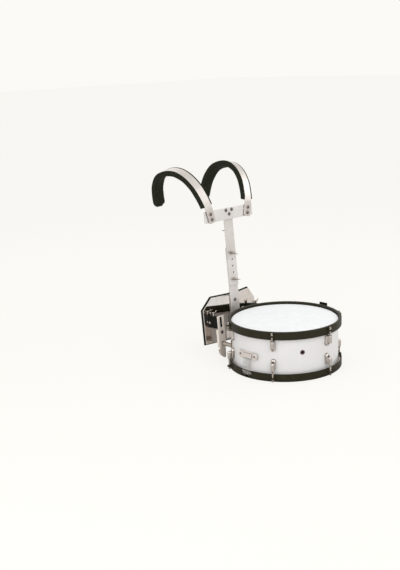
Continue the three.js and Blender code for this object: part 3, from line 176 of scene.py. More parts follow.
@dataclass
class Surface:
    """Points in millimetres, the faces between them, and a UV pair a point where a finish needs one."""

    points: np.ndarray
    faces: list[tuple[int, ...]]
    uv: np.ndarray | None = None

    def placed(self, *places: np.ndarray) -> "Surface":
        """The same surface, moved by the places, the last one first.

        Args:
            *places: The places, 4 by 4 each, the last of which is applied first.

        Returns:
            The moved surface; a mirroring place also turns its faces round.
        """
        matrix = np.linalg.multi_dot([*places, np.eye(4)]) if len(places) > 1 else places[0]
        moved = self.points @ matrix[:3, :3].T + matrix[:3, 3]
        faces = self.faces
        if np.linalg.det(matrix[:3, :3]) < 0:
            faces = [face[::-1] for face in faces]
        return Surface(moved, faces, self.uv)


def joined(*surfaces: Surface) -> Surface:
    """Several surfaces as one, each keeping its own closed skin.

    Args:
        *surfaces: The surfaces.

    Returns:
        All of them as one surface.
    """
    starts = np.cumsum([0] + [len(s.points) for s in surfaces])
    faces = [tuple(int(i + start) for i in face) for s, start in zip(surfaces, starts) for face in s.faces]
    uvs = [s.uv if s.uv is not None else np.zeros((len(s.points), 2)) for s in surfaces]
    return Surface(np.vstack([s.points for s in surfaces]), faces, np.vstack(uvs))


def skin(grid: np.ndarray, wrap_rows: bool = False, wrap_columns: bool = True, caps: bool = False,
         uv: np.ndarray | None = None) -> Surface:
    """Quads over a grid of points: cell (i, j) joins (i, j), (i, j+1), (i+1, j+1) and (i+1, j).

    Args:
        grid: Points, rows by columns by 3.
        wrap_rows: Joins the last row to the first.
        wrap_columns: Joins the last column to the first.
        caps: Closes the first and the last row, each with one face.
        uv: A UV pair for each point, rows by columns by 2.

    Returns:
        The surface.
    """
    rows, columns = grid.shape[:2]
    index = np.arange(rows * columns).reshape(rows, columns)
    i = np.arange(rows if wrap_rows else rows - 1)[:, None]
    j = np.arange(columns if wrap_columns else columns - 1)[None, :]
    ni, nj = (i + 1) % rows, (j + 1) % columns
    quads = np.stack([index[i, j], index[i, nj], index[ni, nj], index[ni, j]], axis=-1).reshape(-1, 4)
    faces = [tuple(q) for q in quads.tolist()]
    if caps:
        faces += [tuple(index[0][::-1].tolist()), tuple(index[-1].tolist())]
    return Surface(grid.reshape(-1, 3), faces, None if uv is None else uv.reshape(-1, 2))


def revolve(profile: np.ndarray, steps: int) -> Surface:
    """A profile of (radius, height) points turned about Z: x = r cos a, y = r sin a, z = h.

    A profile that starts and ends on the axis makes a solid piece, and any other closes on itself as a ring.
    The profile runs up the outside, so that its faces point outwards.

    Args:
        profile: Points of (radius, height), going up the outside.
        steps: How many points there are round the axis.

    Returns:
        The closed surface.
    """
    angles = np.linspace(0, 2 * math.pi, steps, endpoint=False)
    radius, height = profile[:, 0][:, None], profile[:, 1][:, None]
    grid = np.stack([radius * np.cos(angles), radius * np.sin(angles), height + 0 * angles], axis=-1)
    ring = profile[0, 0] > 1e-6 or profile[-1, 0] > 1e-6
    return skin(grid, wrap_rows=ring)


def eased(profile: list[tuple[float, float, float]], steps: int = 4) -> np.ndarray:
    """A closed or open profile whose corners are rounded.

    Args:
        profile: Corners as (radius, height, rounding), in order.
        steps: Points on each rounded corner, less one.

    Returns:
        The points: each corner is a quadratic curve from side to side, with the corner as its handle.
    """
    corners = np.array([p[:2] for p in profile], float)
    easing = np.array([p[2] for p in profile], float)
    before, after = np.roll(corners, 1, axis=0) - corners, np.roll(corners, -1, axis=0) - corners
    t = np.linspace(0, 1, steps + 1)[:, None]
    points: list[np.ndarray] = []
    for corner, ease, back, on in zip(corners, easing, before, after):
        if ease <= 0:
            points.append(corner[None])
            continue
        start = corner + back / np.linalg.norm(back) * ease
        end = corner + on / np.linalg.norm(on) * ease
        points.append((1 - t) ** 2 * start + 2 * t * (1 - t) * corner + t**2 * end)
    return np.vstack(points)


def turned_piece(radius: float, low: float, high: float, ease: float = 0.4, steps: int = 32) -> Surface:
    """A turned disc or rod about Z between two heights, with eased rims."""
    return revolve(eased([(0, low, 0), (radius, low, ease), (radius, high, ease), (0, high, 0)], 3), steps)


def circle(radius: float, steps: int, centre: tuple[float, float] = (0, 0),
           clockwise: bool = False) -> np.ndarray:
    """Points on a circle, as an outline or, clockwise, as a hole."""
    angle = np.linspace(0, 2 * math.pi, steps, endpoint=False) * (-1 if clockwise else 1)
    return np.stack([centre[0] + radius * np.cos(angle), centre[1] + radius * np.sin(angle)], axis=-1)


def rounded(xs: tuple[float, float], ys: tuple[float, float], radius: float, steps: int = 6,
            hole: bool = False) -> np.ndarray:
    """A rectangle between two limits on each axis, with round corners.

    Args:
        xs, ys: The limits on each axis.
        radius: The radius of the corners.
        steps: Points on each corner, less one.
        hole: Runs it clockwise.

    Returns:
        The outline, anticlockwise unless it is a hole.
    """
    corners = [(xs[0], ys[0]), (xs[1], ys[0]), (xs[1], ys[1]), (xs[0], ys[1])]
    outline = eased([(x, y, radius) for x, y in corners], steps) if radius > 0 else np.array(corners, float)
    return outline[::-1] if hole else outline


def handed(loop: np.ndarray) -> np.ndarray:
    """The loop, turned round where it runs clockwise: where the area inside it comes out negative."""
    ahead = np.roll(loop, -1, axis=0)
    return loop if np.sum(loop[:, 0] * ahead[:, 1] - ahead[:, 0] * loop[:, 1]) > 0 else loop[::-1]


def inset(loop: np.ndarray, distance: float) -> np.ndarray:
    """The loop moved to the left of its own direction by a distance, mitred at its corners.

    Args:
        loop: Points by 2.
        distance: How far it moves.

    Returns:
        The moved loop.
    """
    edge = np.roll(loop, -1, axis=0) - loop
    edge /= np.maximum(np.linalg.norm(edge, axis=1, keepdims=True), 1e-9)
    normal = np.stack([-edge[:, 1], edge[:, 0]], axis=-1)
    before = np.roll(normal, 1, axis=0)
    lift = 1 + np.sum(normal * before, axis=1, keepdims=True)
    return loop + distance * (normal + before) / np.maximum(lift, 0.3)


def plate(outline: np.ndarray, thickness: float, ease: float = 0.4, holes: tuple[np.ndarray, ...] = (),
          steps: int = 3) -> Surface:
    """A flat plate about z = 0 with eased edges and through holes.

    Each loop is a wall of rows: the row at height z is the loop moved into the material by
    e (1 - sin a), with z = half thickness less e (1 - cos a), a quarter turn at each edge.

    Args:
        outline: The outer loop, anticlockwise.
        thickness: The plate's thickness.
        ease: The edge rounding.
        holes: Loops, clockwise.
        steps: Rows on each rounded edge, less one.

    Returns:
        The closed surface.
    """
    a = np.linspace(0, math.pi / 2, steps + 1)
    inward = ease * (1 - np.sin(a))
    height = thickness / 2 - ease * (1 - np.cos(a))
    rows = list(zip(inward, -height)) + list(zip(inward[::-1], height[::-1]))
    walls, low, high = [], [], []
    for loop in (outline, *holes):
        grid = np.stack([np.column_stack([inset(loop, d), np.full(len(loop), z)]) for d, z in rows])
        walls.append(skin(grid))
        low.append(grid[0])
        high.append(grid[-1])
    triangles = tessellate_polygon([[Vector(p) for p in loop] for loop in high])
    top_points, low_points = np.vstack(high), np.vstack(low)
    top, foot = [], []
    for a0, b0, c0 in triangles:
        p, q, r = top_points[a0], top_points[b0], top_points[c0]
        up = (q[0] - p[0]) * (r[1] - p[1]) - (q[1] - p[1]) * (r[0] - p[0]) > 0
        top.append((a0, b0, c0) if up else (c0, b0, a0))
        foot.append((c0, b0, a0) if up else (a0, b0, c0))
    return joined(*walls, Surface(top_points, top), Surface(low_points, foot))


def block(xs: tuple[float, float], ys: tuple[float, float], zs: tuple[float, float], ease: float = 0.5,
          corner: float | None = None) -> Surface:
    """A box between limits with eased edges, drawn as a plate along Z.

    Args:
        xs, ys, zs: The limits on each axis.
        ease: The rounding of its edges.
        corner: The radius of its upright edges, if that is another.

    Returns:
        The closed surface.
    """
    outline = rounded(xs, ys, ease if corner is None else corner, 4)
    made = plate(outline, zs[1] - zs[0], ease)
    return made.placed(at(0, 0, (zs[0] + zs[1]) / 2))


def sweep(section: np.ndarray, places: np.ndarray, caps: bool = True) -> Surface:
    """A closed section carried along places; its UV runs along the path and round the section, in metres.

    Args:
        section: Points, anticlockwise, either columns by 2 or rows by columns by 2 where the section changes.
        places: Rows of 4 by 4 places, right or left handed; the section's axes are their X and Y.
        caps: Closes both ends.

    Returns:
        The surface.
    """
    rows = len(places)
    shape = np.broadcast_to(section, (rows, *section.shape[-2:]))
    if np.linalg.det(places[0][:3, :3]) < 0:
        shape = shape[:, ::-1]
    flat = np.concatenate([shape, np.zeros((*shape.shape[:2], 1)), np.ones((*shape.shape[:2], 1))], axis=-1)
    grid = np.einsum("rij,rcj->rci", places, flat)[..., :3]
    run = np.cumsum(np.r_[0, np.linalg.norm(np.diff(places[:, :3, 3], axis=0), axis=1)])
    around = np.cumsum(np.r_[0, np.linalg.norm(np.diff(shape[0], axis=0), axis=1)])
    uv = np.stack(np.meshgrid(run, around, indexing="ij"), axis=-1) * MM
    return skin(grid, caps=caps, uv=uv)


def slab(front: np.ndarray, back: np.ndarray) -> Surface:
    """The closed body between two grids of points: each row runs along the front, then along the back.

    Args:
        front, back: Two grids of points of one shape, rows by columns by 3.

    Returns:
        The closed surface.
    """
    rows, columns = front.shape[:2]
    loop = np.concatenate([front, back[:, ::-1]], axis=1)
    body = skin(loop)
    index = np.arange(rows * columns * 2).reshape(rows, 2 * columns)
    ahead, behind = index[:, :columns], index[:, :columns - 1:-1]
    ends = []
    for row, flip in ((0, False), (rows - 1, True)):
        quads = np.stack([ahead[row, :-1], behind[row, :-1], behind[row, 1:], ahead[row, 1:]], axis=-1)
        ends += [tuple(q[::-1] if flip else q) for q in quads.tolist()]
    return Surface(body.points, body.faces + ends)


def spline(points: np.ndarray, samples: int) -> tuple[np.ndarray, np.ndarray]:
    """Places and directions at even steps along a smooth curve through the points.

    Between two points the curve is the cubic whose end slopes are half the distance between the
    neighbours on each side, and it is sampled again by its own length.

    Args:
        points: The places that it goes through, columns by 2.
        samples: How many steps to return.

    Returns:
        Positions and unit directions, each samples by 2.
    """
    n = len(points)
    s = np.linspace(0, n - 1, 400 * n)[:-1]
    i = s.astype(int)
    t = (s - i)[:, None]
    p0, p1 = points[np.maximum(i - 1, 0)], points[i]
    p2, p3 = points[np.minimum(i + 1, n - 1)], points[np.minimum(i + 2, n - 1)]
    v0, v1 = (p2 - p0) / 2, (p3 - p1) / 2
    line = (2 * p1 - 2 * p2 + v0 + v1) * t**3 + (3 * p2 - 3 * p1 - 2 * v0 - v1) * t**2 + v0 * t + p1
    run = np.r_[0, np.cumsum(np.linalg.norm(np.diff(line, axis=0), axis=1))]
    share = np.linspace(0, run[-1], samples)
    place = np.stack([np.interp(share, run, line[:, k]) for k in (0, 1)], axis=-1)
    along = np.gradient(place, axis=0)
    return place, along / np.linalg.norm(along, axis=1, keepdims=True)


# Finishes


def linear(colour: str) -> tuple[float, float, float, float]:
    """An sRGB hex colour as linear red, green, blue and alpha.

    Args:
        colour: Six hex digits.

    Returns:
        Red, green, blue and alpha.
    """
    values = [int(colour[i:i + 2], 16) / 255 for i in (0, 2, 4)]
    r, g, b = (v / 12.92 if v <= 0.04045 else ((v + 0.055) / 1.055) ** 2.4 for v in values)
    return r, g, b, 1.0


def add_node(tree: bpy.types.NodeTree, kind: str, inputs: dict | None = None,
             **settings: object) -> bpy.types.Node:
    """Adds a node, sets its properties, and sets or links its inputs.

    Args:
        tree: The node tree.
        kind: The node's type.
        inputs: Socket names or numbers, each with a value or with the output socket that feeds it.
        **settings: Properties of the node.

    Returns:
        The node.
    """
    node = tree.nodes.new(kind)
    for name, value in settings.items():
        setattr(node, name, value)
    for key, value in (inputs or {}).items():
        if isinstance(value, bpy.types.NodeSocket):
            tree.links.new(value, node.inputs[key])
        else:
            node.inputs[key].default_value = value
    return node


@dataclass(frozen=True)
class Finish:
    """A surface finish: a base colour, a second colour that a pattern brings in, and a relief.

    Attributes:
        name: What the material is and how its surface was made.
        slot: The record's material slot; not used.
        colour, other: sRGB hex colours; other is the colour that the pattern brings in.
        roughness: The lowest and the highest roughness over the surface.
        metal: 1 for bare metal.
        grain: Size of the relief's grain, in millimetres.
        depth: Height of the relief, in millimetres.
        stretch: How much finer the pattern is on each axis.
        patch: Size of the colour's patches, in millimetres.
        coat: Weight of a clear layer.
        sheen: Weight of the fuzz.
        gloss: Level of the plain reflection, 0.5 for most plastics and paints.
        clear: How much light passes through.
        by_run: The pattern follows the piece's own UV, along its length.
        crease: How much darker the colour gets in creases and at seams: painted shade from ambient occlusion.
    """

    name: str
    slot: str
    colour: str
    other: str
    roughness: tuple[float, float] = (0.4, 0.5)
    metal: float = 0.0
    grain: float = 1.0
    depth: float = 0.02
    stretch: tuple[float, float, float] = (1, 1, 1)
    patch: float = 40.0
    coat: float = 0.0
    sheen: float = 0.0
    gloss: float = 0.5
    clear: float = 0.0
    by_run: bool = False
    crease: float = 0.0

    def material(self) -> bpy.types.Material:
        """The finish as a material, made once.

        Returns:
            The material.
        """
        found = bpy.data.materials.get(self.name)
        if found:
            return found
        made = bpy.data.materials.new(self.name)
        made.use_nodes = True
        tree = made.node_tree
        tree.nodes.clear()
        shader = add_node(tree, "ShaderNodeBsdfPrincipled", {
            "Metallic": self.metal, "Specular IOR Level": self.gloss, "Transmission Weight": self.clear})
        if self.coat:
            shader.inputs["Coat Weight"].default_value = self.coat
            shader.inputs["Coat Roughness"].default_value = 0.08
        if self.sheen:
            shader.inputs["Sheen Weight"].default_value = self.sheen
            shader.inputs["Sheen Roughness"].default_value = 0.5
        self.dress(tree, shader)
        add_node(tree, "ShaderNodeOutputMaterial", {"Surface": shader.outputs[0]})
        return made

    def dress(self, tree: bpy.types.NodeTree, shader: bpy.types.Node) -> None:
        """Links the colour, roughness and relief: slow noise for patches, fine noise for grain, and painted
        shade in creases.

        Args:
            tree: The material's node tree.
            shader: The shader that they go to.
        """
        coordinates = add_node(tree, "ShaderNodeTexCoord")
        spot = coordinates.outputs["UV" if self.by_run else "Object"]
        stretched = add_node(tree, "ShaderNodeMapping", {"Vector": spot, "Scale": self.stretch})
        patches = add_node(tree, "ShaderNodeTexNoise", {
            "Vector": spot, "Scale": 1 / (self.patch * MM), "Detail": 4.0, "Roughness": 0.6})
        grain = add_node(tree, "ShaderNodeTexNoise", {
            "Vector": stretched.outputs[0], "Scale": 1 / (self.grain * MM), "Detail": 3.0, "Roughness": 0.55})
        colour = add_node(tree, "ShaderNodeValToRGB", {"Fac": patches.outputs["Fac"]})
        colour.color_ramp.elements[0].position, colour.color_ramp.elements[1].position = 0.35, 0.68
        colour.color_ramp.elements[0].color = linear(self.other)
        colour.color_ramp.elements[1].color = linear(self.colour)
        rough = add_node(tree, "ShaderNodeMapRange", {
            "Value": patches.outputs["Fac"], "From Min": 0.3, "From Max": 0.7,
            "To Min": self.roughness[0], "To Max": self.roughness[1]})
        bump = add_node(tree, "ShaderNodeBump", {
            "Height": grain.outputs["Fac"], "Distance": self.depth * MM, "Strength": 1.0})
        shown = colour.outputs[0]
        # Painted shade: ambient occlusion darkens the colour in creases and at seams, where shade falls
        if self.crease:
            open_sky = add_node(tree, "ShaderNodeAmbientOcclusion", {"Distance": 6 * MM}, samples=8)
            painted_shade = add_node(tree, "ShaderNodeMapRange", {
                "Value": open_sky.outputs["AO"], "From Min": 0.25, "From Max": 0.95,
                "To Min": 1 - self.crease, "To Max": 1.0})
            shown = add_node(tree, "ShaderNodeVectorMath", {"Vector": shown, "Scale": painted_shade.outputs[0]},
                             operation="SCALE").outputs["Vector"]
        tree.links.new(shown, shader.inputs["Base Color"])
        tree.links.new(rough.outputs[0], shader.inputs["Roughness"])
        tree.links.new(bump.outputs[0], shader.inputs["Normal"])


# A finish's crease darkens its colour by ambient occlusion in creases and at seams: painted shade
# Calendered PVC wrap glued round a plywood shell: smooth, cool white, a soft gloss under a clear face
SHELL_WRAP = Finish("glossy PVC drum wrap", "shell_white", "dedddd", "dad9d9", (0.2, 0.28), grain=3,
                    depth=0.004, patch=90, coat=0.35)
# PET film sprayed with a gritty white coat: matt, with a faint mottle
HEAD_COAT = Finish("spray coated PET film", "head_white", "eeefef", "e8e9ea", (0.62, 0.75), grain=0.7,
                   depth=0.03, patch=30)
# Bare PET film of the snare side: hazy and smooth
HEAD_FILM = Finish("hazy PET film", "head_white", "e6e8e6", "dfe2e0", (0.25, 0.35), grain=2, depth=0.004,
                   patch=60)
# Sand cast alloy under baked black paint: a fine orange peel with a satin shine
HOOP_PAINT = Finish("black painted cast alloy", "hoop_black", "26220f", "1c1909", (0.42, 0.55), grain=1.4,
                    depth=0.03, patch=18, gloss=0.22)
# Zinc casting, copper, nickel and chrome plated: bright, with faint finger marks
CHROME = Finish("chrome plated zinc casting", "chrome", "cfc9c4", "b8b1ab", (0.07, 0.16), metal=1, grain=6,
                depth=0.01, patch=9, crease=0.75)
# Pressed steel bracket, zinc plated and tumbled: bright grey with a soft, slightly mottled shine; its colour
# is raised to paint light onto the hangers and latches, which stand in shade
LIT_BRACKET = Finish("zinc plated pressed steel", "chrome", "f2eae1", "e6dbd1", (0.38, 0.5), metal=0.2,
                 grain=2.5, depth=0.012, patch=8, crease=0.35)
# The same plating on the butt's flat casting, without the brackets' painted light and with less painted
# crease shade
BUTT = replace(LIT_BRACKET, name="zinc plated butt casting", colour="dcd5d0", other="cbc3bd", metal=0.35,
               crease=0.3)
# Turned steel with a duller plating: soft reflections
DULL_CHROME = Finish("nickel plated turned steel", "dull_chrome", "beb6ae", "a8a097", (0.18, 0.3), metal=1,
                     grain=1.5, depth=0.006, patch=6, crease=0.6)
# Dark oxide on steel screws
DARK_STEEL = Finish("dark oxide steel screw", "dull_chrome", "8b827d", "6a625e", (0.22, 0.36), metal=1,
                    grain=1, depth=0.01, patch=5)
# Blackened steel down in a lug's eye
BLACK_STEEL = Finish("blackened steel screw", "dull_chrome", "2b2724", "1d1a18", (0.35, 0.5), metal=1,
                     grain=1, depth=0.01, patch=5)
# Flat aluminium bar, linished along its length and clear anodised: light and satin with fine lines
BAR_UP = Finish("anodised aluminium bar, upright", "bar_aluminium", "e8e5e4", "ded9d7", (0.36, 0.46), metal=1,
                grain=0.8, depth=0.006, stretch=(1, 1, 0.03), patch=60, crease=0.6)
BAR_ACROSS = Finish("anodised aluminium bar, across", "bar_aluminium", "eae7e7", "e0dddd", (0.36, 0.46),
                    metal=1, grain=0.8, depth=0.006, stretch=(0.03, 1, 1), patch=60, crease=0.6)
# The bent bars are the same bar in a darker colour: painted shade, as their tops catch less light than the
# uprights
SHADED_BAR_BENT = Finish("anodised aluminium bar, bent", "bar_aluminium", "dbd6d2", "cec8c4", (0.36, 0.46), metal=1,
                  grain=0.8, depth=0.006, stretch=(0.03, 1, 1), patch=60, by_run=True, crease=0.6)
# Buffed aluminium sheet: a mirror with the slight waves of thin sheet
MIRROR_SHEET = Finish("mirror polished aluminium sheet", "plate_polished", "e6dfdb", "d6cfca", (0.03, 0.07),
                      metal=1, grain=45, depth=0.12, patch=25)
# Closed cell foam, skived: dead black with small open cells
FOAM = Finish("black closed cell foam", "foam_black", "24271a", "191c12", (0.88, 0.98), grain=1.6, depth=0.25,
              patch=12, sheen=0.03, gloss=0.15)
# Injection moulded nylon: a fine spark eroded texture
BLOCK_PLASTIC = Finish("moulded black nylon", "plastic_black", "0d0e08", "080906", (0.6, 0.72), grain=0.8,
                       depth=0.04, patch=10, gloss=0.14)
# Soft moulded rubber
RUBBER = Finish("moulded rubber", "grommet_rubber", "53363f", "3a2730", (0.62, 0.78), grain=0.9, depth=0.03,
                patch=7)
# Drawn carbon steel wire
WIRE = Finish("drawn steel wire", "snare_steel", "a8a8a6", "8e8e8c", (0.25, 0.35), metal=1, grain=0.5,
              depth=0.004, patch=10)
# Clear polyester film strap: thin and stiff, seen only where it catches the light
STRAP = Finish("clear polyester film strap", "strap_film", "fafaf9", "f6f6f5", (0.02, 0.06), grain=1.2,
               depth=0.002, patch=8, clear=0.97)


# Pieces


def merge(mesh: bpy.types.Mesh) -> None:
    """Welds points closer than a thousandth of a millimetre, which closes seams and poles.

    Args:
        mesh: The mesh, which is changed.
    """
    work = bmesh.new()
    work.from_mesh(mesh)
    bmesh.ops.remove_doubles(work, verts=work.verts, dist=1e-6)
    work.to_mesh(mesh)
    work.free()


def make_piece(name: str, surface: Surface, finish: Finish, body: str, replaces: tuple[str, ...] = (),
               angle: float = 40.0) -> bpy.types.Object:
    """Turns a surface into an object that rides on a body.

    Args:
        name: The object's name.
        surface: The surface, in millimetres, in the part's frame.
        finish: Its finish.
        body: The CAD body that it moves with.
        replaces: The CAD nodes that it stands for.
        angle: Edges sharper than this stay crisp, in degrees.

    Returns:
        The object.
    """
    mesh = bpy.data.meshes.new(name)
    mesh.from_pydata((surface.points * MM).tolist(), [], surface.faces)
    if surface.uv is not None:
        layer = mesh.uv_layers.new(name="run")
        corner = np.zeros(len(mesh.loops), np.int32)
        mesh.loops.foreach_get("vertex_index", corner)
        layer.data.foreach_set("uv", surface.uv[corner].astype(np.float32).ravel())
    merge(mesh)
    mesh.validate()
    mesh.shade_smooth()
    mesh.set_sharp_from_angle(angle=math.radians(angle))
    piece = bpy.data.objects.new(name, mesh)
    bpy.context.scene.collection.objects.link(piece)
    mesh.materials.append(finish.material())
    even = piece.modifiers.new("even normals", "WEIGHTED_NORMAL")
    even.keep_sharp = True
    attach(piece, body)
    if replaces:
        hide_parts(*replaces)
    return piece


def make_pieces(place: np.ndarray, rows: tuple[tuple, ...], ending: str = "") -> Pieces:
    """Makes several pieces that are laid out in one place.

    Args:
        place: The place that they go to.
        rows: For each piece its name, surface, finish and body, and the CAD nodes that it stands for.
        ending: What every name and node ends in.

    Returns:
        The pieces.
    """
    return [make_piece(name + ending, surface.placed(place), finish, body, tuple(n + ending for n in nodes))
            for name, surface, finish, body, *nodes in rows]


def paint_bore_shade(piece: bpy.types.Object, finish: Finish, place: np.ndarray, centres: list[tuple[float, float]],
          radius: float) -> None:
    """Gives the walls of bores another finish: the faces whose middles lie within a radius of a bore's axis.

    Args:
        piece: The object.
        finish: The darker finish that paints the bores' shade.
        place: The place whose Y runs along the bores.
        centres: The bores' axes, as X and Z in the place.
        radius: The radius, in millimetres.
    """
    mesh = piece.data
    middles = np.empty(3 * len(mesh.polygons))
    mesh.polygons.foreach_get("center", middles)
    local = np.linalg.inv(place) @ np.vstack([middles.reshape(-1, 3).T / MM, np.ones(len(mesh.polygons))])
    away = np.hypot(*(local[[0, 2]][:, None] - np.array(centres).T[:, :, None]))
    mesh.materials.append(finish.material())
    mesh.polygons.foreach_set("material_index", (away.min(axis=0) < radius).astype(np.int32))


def pierce(piece: bpy.types.Object, cutter: Surface) -> None:
    """Cuts a closed surface out of a piece and keeps only the result.

    Args:
        piece: The object, whose mesh is replaced.
        cutter: The surface, in millimetres, in the part's frame.
    """
    mesh = bpy.data.meshes.new("cutter")
    mesh.from_pydata((cutter.points * MM).tolist(), [], cutter.faces)
    merge(mesh)
    tool = bpy.data.objects.new("cutter", mesh)
    bpy.context.scene.collection.objects.link(tool)
    cut = piece.modifiers.new("cut", "BOOLEAN")
    cut.operation, cut.object, cut.solver = "DIFFERENCE", tool, "EXACT"
    piece.modifiers.move(len(piece.modifiers) - 1, 0)
    bpy.context.view_layer.update()
    graph = bpy.context.evaluated_depsgraph_get()
    shown = [m for m in piece.modifiers if m != cut]
    for modifier in shown:
        modifier.show_viewport = False
    bpy.context.view_layer.update()
    made = bpy.data.meshes.new_from_object(piece.evaluated_get(graph))
    piece.modifiers.remove(cut)
    for modifier in shown:
        modifier.show_viewport = True
    old, piece.data = piece.data, made
    bpy.data.meshes.remove(old)
    bpy.data.objects.remove(tool)
    bpy.data.meshes.remove(mesh)
    made.set_sharp_from_angle(angle=math.radians(40))


def screw_head(radius: float, height: float, socket: float) -> Surface:
    """A button head about Z: a dome from its rim to its crown, with a round socket let into it.

    Args:
        radius: The radius of its rim.
        height: The height of its crown.
        socket: The radius of its socket.

    Returns:
        The closed surface.
    """
    a = np.linspace(0, math.pi / 2, 7)
    dome = np.stack([radius * np.cos(a), height * (0.25 + 0.75 * np.sin(a))], axis=-1)
    dome = dome[dome[:, 0] > socket]
    well = np.array([[socket, dome[-1, 1]], [socket, height * 0.35], [0, height * 0.3]])
    return revolve(np.vstack([[[0, 0]], [[radius, 0]], dome, well]), 28)


def hex_nut(across: float, height: float) -> Surface:
    """A hexagonal nut about Z, eased at both faces, with a bolt's end standing in it.

    Args:
        across: The width over its flats.
        height: The height.

    Returns:
        The closed surface.
    """
    outline = circle(across / math.sqrt(3), 6)
    nut = plate(outline, height, 0.35, (circle(across * 0.27, 16, clockwise=True),))
    return joined(nut.placed(at(0, 0, height / 2)), turned_piece(across * 0.26, 0, height * 1.1, 0.3, 20))


def screws(sizes: tuple[float, float, float], places: list[np.ndarray]) -> Surface:
    """Equal screw heads, given as radius, height and socket radius, at several places."""
    return joined(*[screw_head(*sizes).placed(place) for place in places])


def through_bolts(spots: tuple[tuple[float, float], ...], front: float, back: float) -> Surface:
    """Bolts through the carrier's bars: a button head in front and a nut behind at each spot.

    Args:
        spots: Where they are, as X and Z in the carrier's place.
        front, back: The faces that the heads and the nuts lie on.

    Returns:
        The heads and nuts.
    """
    nuts = [hex_nut(*LOCK_NUT).placed(at(x, back, z, Axis.Y)) for x, z in spots]
    return joined(screws(BUTTON_HEAD, [at(x, front, z, Axis.FRONT) for x, z in spots]), *nuts)


def wing_body(bore: float) -> Surface:
    """A wing nut about Z, its seat at zero: a tapered hub and two curved, thinning wings.

    A wing's outline is a closed curve: its lower edge rises as the square of the distance from the hub,
    and its tip is a round ear.

    Args:
        bore: The radius of its bore.

    Returns:
        The closed surface.
    """
    hub = eased([(bore, 0, 0.2), (5.2, 0, 0.4), (4.6, 12, 0.8), (bore, 12, 0.3)], 3)
    t = np.linspace(0, 1, 12)
    lower = np.stack([4.0 + 10.6 * t, 1.4 + 8.4 * t**1.5], axis=-1)
    a = np.linspace(-60, 150, 14)
    ear = np.stack([13.7 + 3.3 * np.cos(np.radians(a)), 13.1 + 3.3 * np.sin(np.radians(a))], axis=-1)
    upper = np.stack([10.4 - 6.4 * t, 14.4 - 3.6 * t**0.8], axis=-1)
    outline = np.vstack([lower, ear, upper])
    wings = []
    for side in (1, -1):
        wing = plate(outline, 2.4, 1.0)
        wings.append(wing.placed(basis((side, 0, 0), (0, 0, 1), (0, -side, 0))))
    return joined(revolve(hub, 28), *wings)


@dataclass
class Drum:
    """Sizes that the drum's pieces share, in millimetres."""

    height: float = 165.0
    shell_radius: float = 177.5
    rod_ring: float = 194.0
    head_recess: float = 8.0
    film: float = 0.8

    def flipped(self, profile: np.ndarray) -> np.ndarray:
        """A profile of the batter side turned over to the snare side, still anticlockwise."""
        return np.column_stack([profile[:, 0], self.height - profile[:, 1]])[::-1]


@dataclass
class DrumShell:
    """The white shell with its vent."""

    drum: Drum = field(default_factory=Drum)
    wall: float = 6.0
    ring_wall: float = 5.5
    ring_height: float = 28.0
    edge: float = 1.4
    vent_angle: float = -30.0
    vent_height: float = 93.0
    vent_hole: float = 6.4
    bevel: float = 9.0
    seam_angles: tuple[float, float] = (148.0, 154.0)

    def build(self) -> Pieces:
        """The shell is a ring with a bevelled bearing edge and a reinforcement ring at each end.

        Returns:
            The pieces.
        """
        top = self.drum.height - self.drum.head_recess - self.drum.film - AIR
        foot = self.drum.height - top
        outer = self.drum.shell_radius
        inner = outer - self.wall
        ring = inner - self.ring_wall
        profile = eased([
            (ring, foot + self.bevel, 0), (outer - self.edge, foot, 0.5), (outer, foot + self.edge, 0.8),
            (outer, top - self.edge, 0.8), (outer - self.edge, top, 0.5), (ring, top - self.bevel, 0),
            (ring, top - self.ring_height, 0), (inner, top - self.ring_height - self.ring_wall, 0),
            (inner, foot + self.ring_height + self.ring_wall, 0), (ring, foot + self.ring_height, 0),
        ])
        shell = make_piece("drum_shell", revolve(profile, 288).placed(drum_axis()), SHELL_WRAP, DRUM_BODY,
                           ("shell",))
        cutter = turned_piece(self.vent_hole, ring - 8, outer + 8, 0).placed(
            station(self.vent_angle), at(0, 0, self.vent_height, Axis.Y))
        pierce(shell, cutter)
        return [shell, self.grommet(outer, inner), self.seam(outer, foot, top)]

    def grommet(self, outer: float, inner: float) -> bpy.types.Object:
        """The vent's grommet: a rolled lip outside and a flange inside, joined by its sleeve.

        Args:
            outer, inner: The radii of the shell's wall.

        Returns:
            The piece.
        """
        profile = eased([
            (4.0, inner - 1.7, 0.3), (7.8, inner - 1.7, 0.4), (7.8, inner - 0.4, 0.3), (6.2, inner - 0.3, 0),
            (6.2, outer + 0.3, 0), (7.6, outer + 0.3, 0.3), (7.4, outer + 1.8, 1.0), (4.0, outer + 1.9, 1.2),
        ])
        surface = revolve(profile, 48).placed(station(self.vent_angle), at(0, 0, self.vent_height, Axis.Y))
        return make_piece("vent_grommet_lip", surface, RUBBER, DRUM_BODY, ("vent_grommet",))

    def seam(self, outer: float, foot: float, top: float) -> bpy.types.Object:
        """The wrap's overlap at the back: a strip of wrap a quarter of a millimetre proud of the shell.

        Args:
            outer: The shell's radius.
            foot, top: The heights of its ends.

        Returns:
            The piece.
        """
        angles = np.radians(np.linspace(*self.seam_angles, 13) - 90)
        heights = np.linspace(foot + 3, top - 3, 3)
        a, h = np.meshgrid(angles, heights)
        lift = 0.26 * (1 - np.abs(np.linspace(-1, 1, 13)) ** 8)
        front = np.stack([(outer + lift) * np.cos(a), (outer + lift) * np.sin(a), h], axis=-1)
        back = np.stack([(outer - 0.4) * np.cos(a), (outer - 0.4) * np.sin(a), h], axis=-1)
        return make_piece("shell_wrap_seam", slab(front, back).placed(drum_axis()), SHELL_WRAP, DRUM_BODY)


